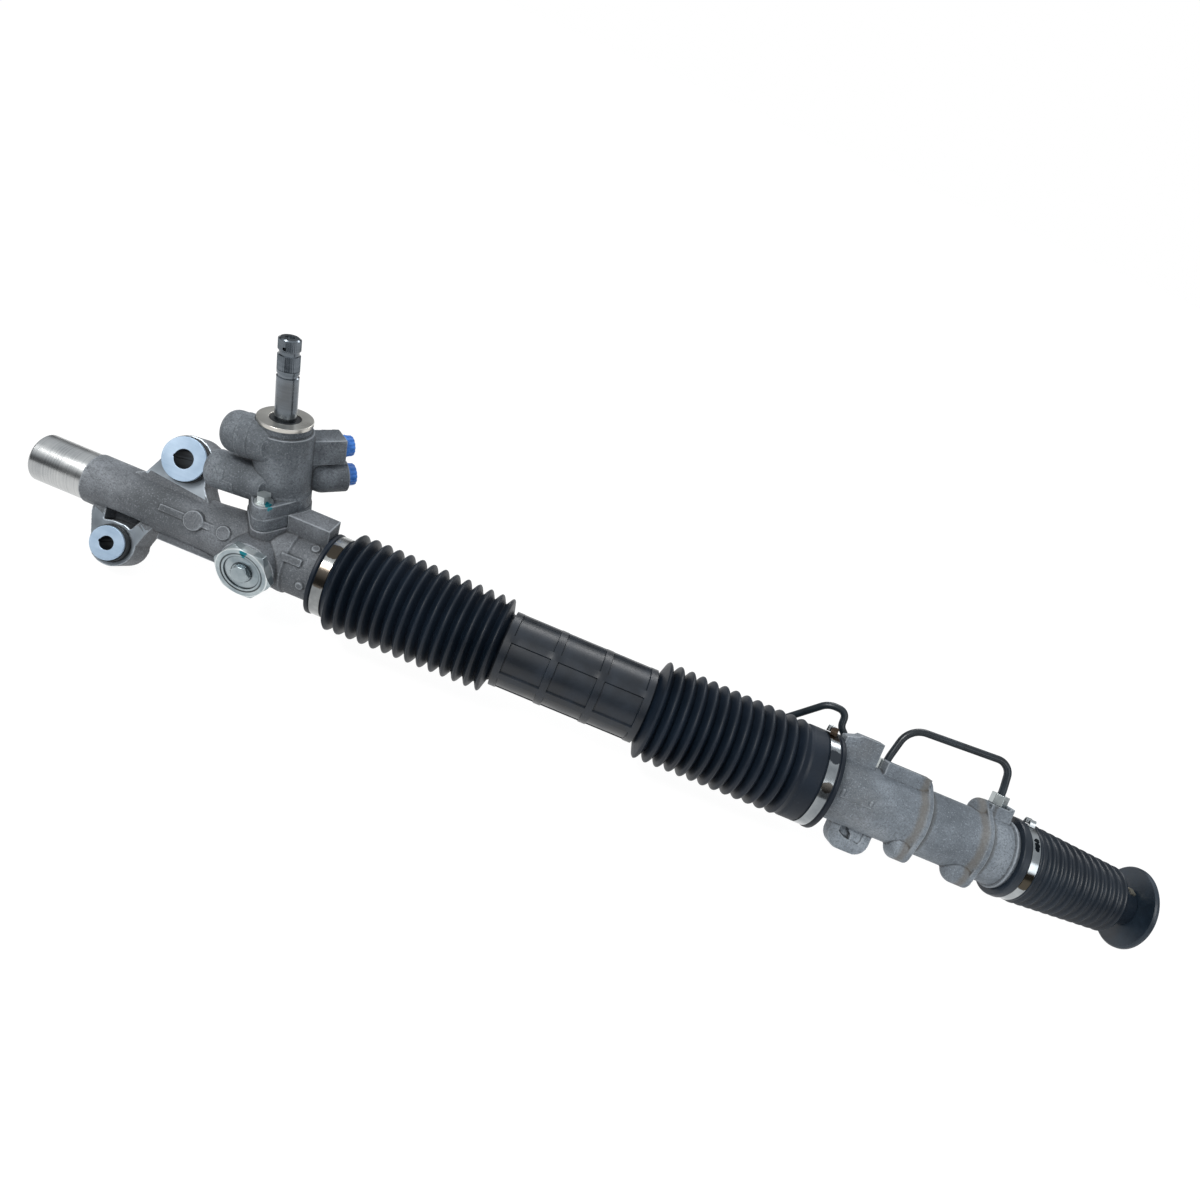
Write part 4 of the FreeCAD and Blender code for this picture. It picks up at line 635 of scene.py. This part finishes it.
def makeBoot(name, sizes, finish):
    lengths = {"Start": sizes["start"], "End": sizes["end"], "First Crest": sizes["crests"][0],
               "Last Crest": sizes["crests"][1], "First Root": sizes["roots"][0], "Last Root": sizes["roots"][1]}
    inputs = {key: value * mm for key, value in lengths.items()}
    inputs.update({"Folds": float(sizes["folds"]), "Fullness": sizes["fullness"],
                   "Rows": sizes["folds"] * sizes["rows"] + 1, "Around": 129})
    meshes = [bellowsMesh(inputs, finish)]
    meshes += [turned(roundedProfile(profile, corner)) for profile, corner in sizes["ends"]]
    return gathered(name, meshes, finish)


boot = makeBoot("leftBoot", leftBoot, "bootRubber")
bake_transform(boot)
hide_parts("left_boot")
boot = makeBoot("rightBoot", rightBoot, "bootRubber")
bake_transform(boot)
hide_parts("right_boot")
print("large boots made")
placed(makeBoot("smallBoot", smallBoot, "smallBootRubber"), "housing", "boot_rubber", "small_boot")
print("small boot made")

# The sliding sleeve: a moulded shell with a grid of ribs, and a window at the back for the take-off block
ribbedSleeve = {"left": -64.0, "right": 64.5, "skin": 31.2, "rib": 33.0, "bore": 29.5, "ribWidth": 6.2,
                "ringCentres": (-61.0, -20.2, 20.6, 61.5), "rowAngles": (25, 85, 145, 205, 265, 325),
                "rowDrop": 0.15, "windowHalf": 32.05, "windowUp": 10.05, "padHalf": 38.0, "padUp": 16.0}
near = 0.01  # for comparing places on the sleeve's grid


def gridLines(centres, half, ramp, low, high, step):
    # Grid lines at each rib's edges, with plain lines between them
    lines = {low, high}
    for centre in centres:
        lines.update(value for value in (centre - half - ramp, centre - half, centre + half, centre + half + ramp)
                     if low < value < high)
    lines = sorted(lines)
    filled = []
    for first, second in zip(lines, lines[1:]):
        parts = max(1, math.ceil((second - first) / step))
        filled += [first + (second - first) * i / parts for i in range(parts)]
    return filled + [lines[-1]]


def makeSleeve():
    s = ribbedSleeve
    half = s["ribWidth"] / 2
    halfTurn = math.degrees(half / s["rib"])
    windowTurn = math.degrees(math.asin(s["windowUp"] / s["rib"]))
    padTurn = math.degrees(math.asin(s["padUp"] / s["rib"]))
    xs = gridLines(s["ringCentres"], half, 0.5, s["left"], s["right"], 6.0)
    xs = sorted(xs + [-s["padHalf"], -s["windowHalf"], s["windowHalf"], s["padHalf"]])
    angles = gridLines(s["rowAngles"], halfTurn, 1.0, 0.0, 360.0, 4.0)[:-1]
    angles = sorted(angles + [180 - padTurn, 180 - windowTurn, 180 + windowTurn, 180 + padTurn])

    def outerRadius(x, angle):
        if abs(x) <= s["padHalf"] and abs(angle - 180) <= padTurn + near:
            return s["rib"]
        if any(abs(x - centre) <= half + near for centre in s["ringCentres"]):
            return s["rib"]
        if any(abs(angle - centre) <= halfTurn + near for centre in s["rowAngles"]):
            return s["rib"] - s["rowDrop"]
        return s["skin"]

    work = bmesh.new()
    shells = []
    for outer in (True, False):
        rows = []
        for x in xs:
            row = []
            for angle in angles:
                row.append(work.verts.new(aroundAxis(x, outerRadius(x, angle) if outer else s["bore"], angle)))
            rows.append(row)
        shells.append(rows)
    around = len(angles)

    def inWindow(i, j):
        middleX = (xs[i] + xs[i + 1]) / 2
        following = angles[(j + 1) % around] + (360 if j == around - 1 else 0)
        middleAngle = (angles[j] + following) / 2
        return abs(middleX) < s["windowHalf"] and abs(middleAngle - 180) < windowTurn

    for i in range(len(xs) - 1):
        for j in range(around):
            k = (j + 1) % around
            if inWindow(i, j):
                continue
            for rows in shells:
                work.faces.new((rows[i][j], rows[i][k], rows[i + 1][k], rows[i + 1][j]))
    rims = [edge for edge in work.edges if edge.is_boundary]
    bmesh.ops.bridge_loops(work, edges=rims)
    loose = [vertex for vertex in work.verts if not vertex.link_faces]
    bmesh.ops.delete(work, geom=loose, context="VERTS")
    bmesh.ops.recalc_face_normals(work, faces=work.faces)
    piece = linked("ribbedSleeve", meshFrom(work, "ribbedSleeve"))
    coloured(piece, "sleevePlastic")
    smooth(piece, 24)
    placed(piece, "rack", "sleeve_plastic", "centre_sleeve")


makeSleeve()
print("sleeve made")

# Castings: the cell and the rounds set how fine and how soft each skin is
lugFaces = {"back": 12.0, "near": 1.2, "rightmost": -320.0, "above": 22.0}


def milled(centre, normal):
    # The lugs' machined faces, front and back
    level = abs(abs(centre.dot(mountBack)) - lugFaces["back"] * mm) < lugFaces["near"] * mm
    onLug = centre.x < lugFaces["rightmost"] * mm and abs(centre.dot(mountUp)) > lugFaces["above"] * mm
    return level and onLug and abs(normal.dot(mountBack)) > 0.9


gear = castSkin("gear_housing", "gear_housing_cast", 0.66, 2, "gearCast", "milledFace")
markFaces(gear, 1, milled)
castSkin("valve_body", "valve_body_cast", 0.55, 3, "valveCast")
castSkin("cylinder_housing", "cylinder_cast", 0.6, 2, "cylinderCast")
print("castings made")

# Push-in caps: a smooth collar and a ribbed end, turned about the port's axis
pinionFrame = Matrix.Translation(pinionPlace) @ Matrix.Rotation(math.radians(-5), 4, "Y")
portCaps = {"port_cap_upper": (88.0, 47.5, 9.2), "port_cap_lower": (61.0, 51.5, 10.0)}  # level, reach, radius
capRibs = {"ribs": 14, "around": 112, "high": 0.55, "sunk": 0.35}


def makeCap(node, level, reach, radius):
    ribs, around = capRibs["ribs"], capRibs["around"]
    profile = [(-9.0, 0.0, 0), (-9.0, 6.4, 0), (0.0, 6.4, 0), (0.0, radius - 0.2, 0), (0.3, radius, 0),
               (2.2, radius, 0), (2.5, radius - 0.5, 0), (2.6, radius - 0.6, 1), (7.4, radius - 0.9, 1),
               (8.2, radius - 1.6, 1), (8.5, radius - 2.6, 0), (8.5, radius - 3.2, 0), (6.6, radius - 3.4, 0),
               (6.6, 0.0, 0)]
    work = bmesh.new()
    rings = []
    for along, r, ribbed in profile:
        if r == 0.0:
            rings.append([work.verts.new((along * mm, 0, 0))] * around)
            continue
        ring = []
        for i in range(around):
            share = (i * ribs / around) % 1.0
            crown = max(0.0, min(1.0, (0.5 - abs(share - 0.5)) * 8 - 1.2))
            lift = capRibs["high"] * crown - capRibs["sunk"] if ribbed else 0.0
            turn = 2 * math.pi * i / around
            spot = Vector((along, (r + lift) * math.cos(turn), (r + lift) * math.sin(turn))) * mm
            ring.append(work.verts.new(spot))
        rings.append(ring)
    for first, second in zip(rings, rings[1:]):
        for i in range(around):
            k = (i + 1) % around
            corners = [first[i], first[k], second[k], second[i]]
            corners = [v for n, v in enumerate(corners) if v not in corners[:n]]
            if len(corners) > 2:
                work.faces.new(corners)
    outward = Matrix.Rotation(math.radians(45), 4, "Z") @ Matrix.Translation((reach * mm, 0, 0))
    work.transform(pinionFrame @ Matrix.Translation((0, 0, level * mm)) @ outward)
    bmesh.ops.recalc_face_normals(work, faces=work.faces)
    piece = coloured(linked(node + ".ribbed", meshFrom(work, node + ".ribbed")), "capPlastic")
    smooth(piece, 28)
    placed(piece, "housing", "cap_blue", node)


for node, sizes in portCaps.items():
    makeCap(node, *sizes)
print("caps made")

# Folded ears of the bands: a thin strip bent into two loops. Place, radius, angle, width, size and finish
bandEars = {"smallBandEar": (407.5, 34.1, 84, 5.0, 1.0, "smallBand"),
            "rightBandEar": (219.5, 41.4, 84, 6.0, 1.15, "rightBand")}
earPath = [(-5.2, -0.2), (-4.9, 2.6), (-3.6, 4.9), (-2.0, 4.2), (-1.1, 1.2), (1.1, 1.2), (2.0, 4.6), (3.6, 5.6),
           (4.9, 3.2), (5.2, -0.2)]
earThickness = 0.7


def makeEar(name, x, radius, angle, width, size, finish):
    path = roundedProfile(earPath, 1.6, 3)
    turn = math.radians(angle)
    out = mountUp * math.sin(turn) - mountBack * math.cos(turn)
    along = Vector((1, 0, 0))
    across = along.cross(out)
    middle = Vector((x, 0, 0)) + out * radius
    steps = [width * share for share in (-0.5, -0.25, 0, 0.25, 0.5)]
    work = bmesh.new()
    rows = []
    for side, height in path:
        spot = middle + across * side * size + out * height * size
        rows.append([work.verts.new((spot + along * step) * mm) for step in steps])
    for first, second in zip(rows, rows[1:]):
        for i in range(len(steps) - 1):
            work.faces.new((first[i], first[i + 1], second[i + 1], second[i]))
    piece = linked(name, meshFrom(work, name))
    thick = piece.modifiers.new("thick", "SOLIDIFY")
    thick.thickness = earThickness * mm
    thick.offset = 0.0
    applied(piece)
    coloured(piece, finish)
    smooth(piece, 40)
    placed(piece, "housing", "band_steel")


for name, sizes in bandEars.items():
    makeEar(name, *sizes)
print("band ears made")

# Machined and moulded pieces with broken edges: node, finish, slot, body and how wide the edge is
brokenEdges = [
    ("end_tube", "drawnTube", "bright_tube", "housing", 0.5),
    ("guide_screw", "screwPlate", "zinc_plate", "housing", 0.25),
    ("guide_locknut", "nutPlate", "zinc_plate", "housing", 0.4),
    ("top_ring", "turnedSteel", "machined_steel", "housing", 0.5),
    ("bush_a_sleeve", "bushSteel", "bush_steel", "housing", 0.4),
    ("bush_b_sleeve", "bushSteel", "bush_steel", "housing", 0.4),
    ("bush_a_rubber", "bushRubber", "bush_rubber", "housing", 0.6),
    ("bush_b_rubber", "bushRubber", "bush_rubber", "housing", 0.6),
    ("end_flange", "endDisc", "disc_coat", "housing", 0.5),
    ("takeoff_block", "turnedSteel", "machined_steel", "rack", 0.4),
    ("flare_nuts", "pipeNut", "pipe_nut_steel", "housing", 0.4),
]
softPieces = {row[0]: softEdges(*row) for row in brokenEdges}

# The bushes' bores are painted darker than their washers, as painted shade inside the holes: node, place along the
# rack and up, and the hole's radius
bushHoles = [("bush_a_sleeve", -391.8, -42.6, 5.8), ("bush_b_sleeve", -358.9, 44.6, 8.0)]
slotDepth = 1.6
for node, x, up, holeRadius in bushHoles:
    sleeve = softPieces[node]
    sleeve.data.materials.append(finishes["shadedBore"])
    axis = Vector((x, 0, 0)) * mm + mountUp * up * mm

    def insideHole(centre, normal):
        across = centre - axis
        across -= mountBack * across.dot(mountBack)
        return abs(normal.dot(mountBack)) < 0.5 and across.length < (holeRadius + slotDepth) * mm

    markFaces(sleeve, 1, insideHole)
print("edges broken")

# Nodes whose CAD shape is kept get a finish
kept = {
    "end_plug": "drawnTube", "lower_cap": "zincPlate", "rack_guide": "aluminiumTurned", "guide_spring": "springSteel",
    "pinion_lower_bearing": "turnedSteel", "pinion_upper_bearing": "turnedSteel", "shaft_bearing": "turnedSteel",
    "pinion_seal": "sealRubber", "shaft_seal": "sealRubber", "centre_tube": "innerTube",
    "left_boot_band": "leftBand", "right_boot_band": "rightBand", "small_boot_band": "smallBand",
    "inner_gland": "aluminiumTurned", "rod_seal": "sealRubber", "gland_o_ring": "sealRubber",
    "cylinder_plug": "aluminiumTurned", "plug_o_ring": "sealRubber", "plug_circlip": "springSteel",
    "vent_clip": "clipSteel", "pipe_long": "pipeCoat", "pipe_bridge": "pipeCoat", "rack_bar": "rackSteel",
    "piston": "rackSteel", "piston_ring": "ringPlastic", "piston_nut": "turnedSteel", "takeoff_screw": "zincPlate",
    "pinion": "rackSteel", "torsion_bar": "rackSteel", "valve_sleeve": "turnedSteel", "sleeve_rings": "ringPlastic",
    "input_shaft": "groundShaft", "valve_bolts": "boltPlate",
}
for node, finish in kept.items():
    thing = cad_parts[node]
    for slot in thing.material_slots:
        slot.material = finishes[finish]

print("finishes given")


# Floor, background and lamps
studio = {"floorGlow": 1.06, "glowShare": 0.9, "floorTone": 0.86, "dim": (0.30, 0.13), "bright": (0.55, 0.78),
          "tint": (0.93, 0.965, 1.0, 1), "white": (1, 1, 1, 1), "floorHalf": 30}


def whiteFloor():
    g = Graph("floor")
    seen = (g.ray("Is Camera Ray") + g.ray("Is Glossy Ray") + g.ray("Is Transmission Ray")).clamped()
    glow = g.tree.nodes.new("ShaderNodeEmission")
    glow.inputs["Color"].default_value = studio["white"]
    glow.inputs["Strength"].default_value = studio["floorGlow"]
    g.finish((*[studio["floorTone"]] * 3, 1), 0.9, specular=0.1)
    mix = g.tree.nodes.new("ShaderNodeMixShader")
    pairs = [((seen * studio["glowShare"]).socket, mix.inputs[0]), (g.shader.outputs[0], mix.inputs[1]),
             (glow.outputs[0], mix.inputs[2]), (mix.outputs[0], g.tree.nodes["Material Output"].inputs[0])]
    for output, taken in pairs:
        g.tree.links.new(output, taken)
    return g.material


def studioWorld():
    # White to the camera. Round the object bright overhead and dim at the sides, which gives metal its dark bands
    world = bpy.data.worlds.new("studio")
    bpy.context.scene.world = world
    g = Graph("studio", world)
    seen = (g.ray("Is Camera Ray") + g.ray("Is Transmission Ray")).clamped()
    height = g.node("ShaderNodeSeparateXYZ", {}, [g.node("ShaderNodeTexCoord", {}, [], "Generated")], "Z")
    stops = [(place, (level, level, level, 1)) for place, level in (studio["dim"], studio["bright"])]
    backdrop = g.tree.nodes["Background"]
    for key, colour in (("Color", studio["tint"]), ("Strength", g.ramp(height, stops))):
        g.tree.links.new(g.mixed(seen, colour, studio["white"]).socket, backdrop.inputs[key])


half, level = studio["floorHalf"], cadBox[0][2]
mesh = bpy.data.meshes.new("floor")
mesh.from_pydata([(-half, -half, level), (half, -half, level), (half, half, level), (-half, half, level)], [],
                 [(0, 1, 2, 3)])
floor = linked("floor", mesh)
floor.data.materials.append(whiteFloor())
floor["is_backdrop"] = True
studioWorld()

lamps = [  # name, place, aimed at, width, height, watts, colour
    ("key", (-0.9, -0.9, 1.5), (-0.1, 0, 0), 0.6, 0.4, 24.0, (1.0, 0.985, 0.96)),
    ("fill", (1.3, -1.2, 0.9), (0.2, 0, 0), 0.9, 0.6, 5.0, (0.95, 0.975, 1.0)),
    ("rim", (0.2, 1.4, 1.2), (0, 0, 0), 1.4, 0.4, 12.0, (1.0, 1.0, 1.0)),
]
for name, spot, target, width, height, watts, tint in lamps:
    data = bpy.data.lights.new(name, "AREA")
    data.shape = "RECTANGLE"
    data.size = width
    data.size_y = height
    data.energy = watts
    data.color = tint
    lamp = bpy.data.objects.new(name, data)
    lamp.location = spot
    lamp.rotation_euler = (Vector(target) - Vector(spot)).to_track_quat("-Z", "Y").to_euler()
    bpy.context.collection.objects.link(lamp)

bpy.context.scene.view_settings.view_transform = "Standard"
sizes = {"cad": [list(c) for c in cadBox], "visual": [list(c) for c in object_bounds()]}
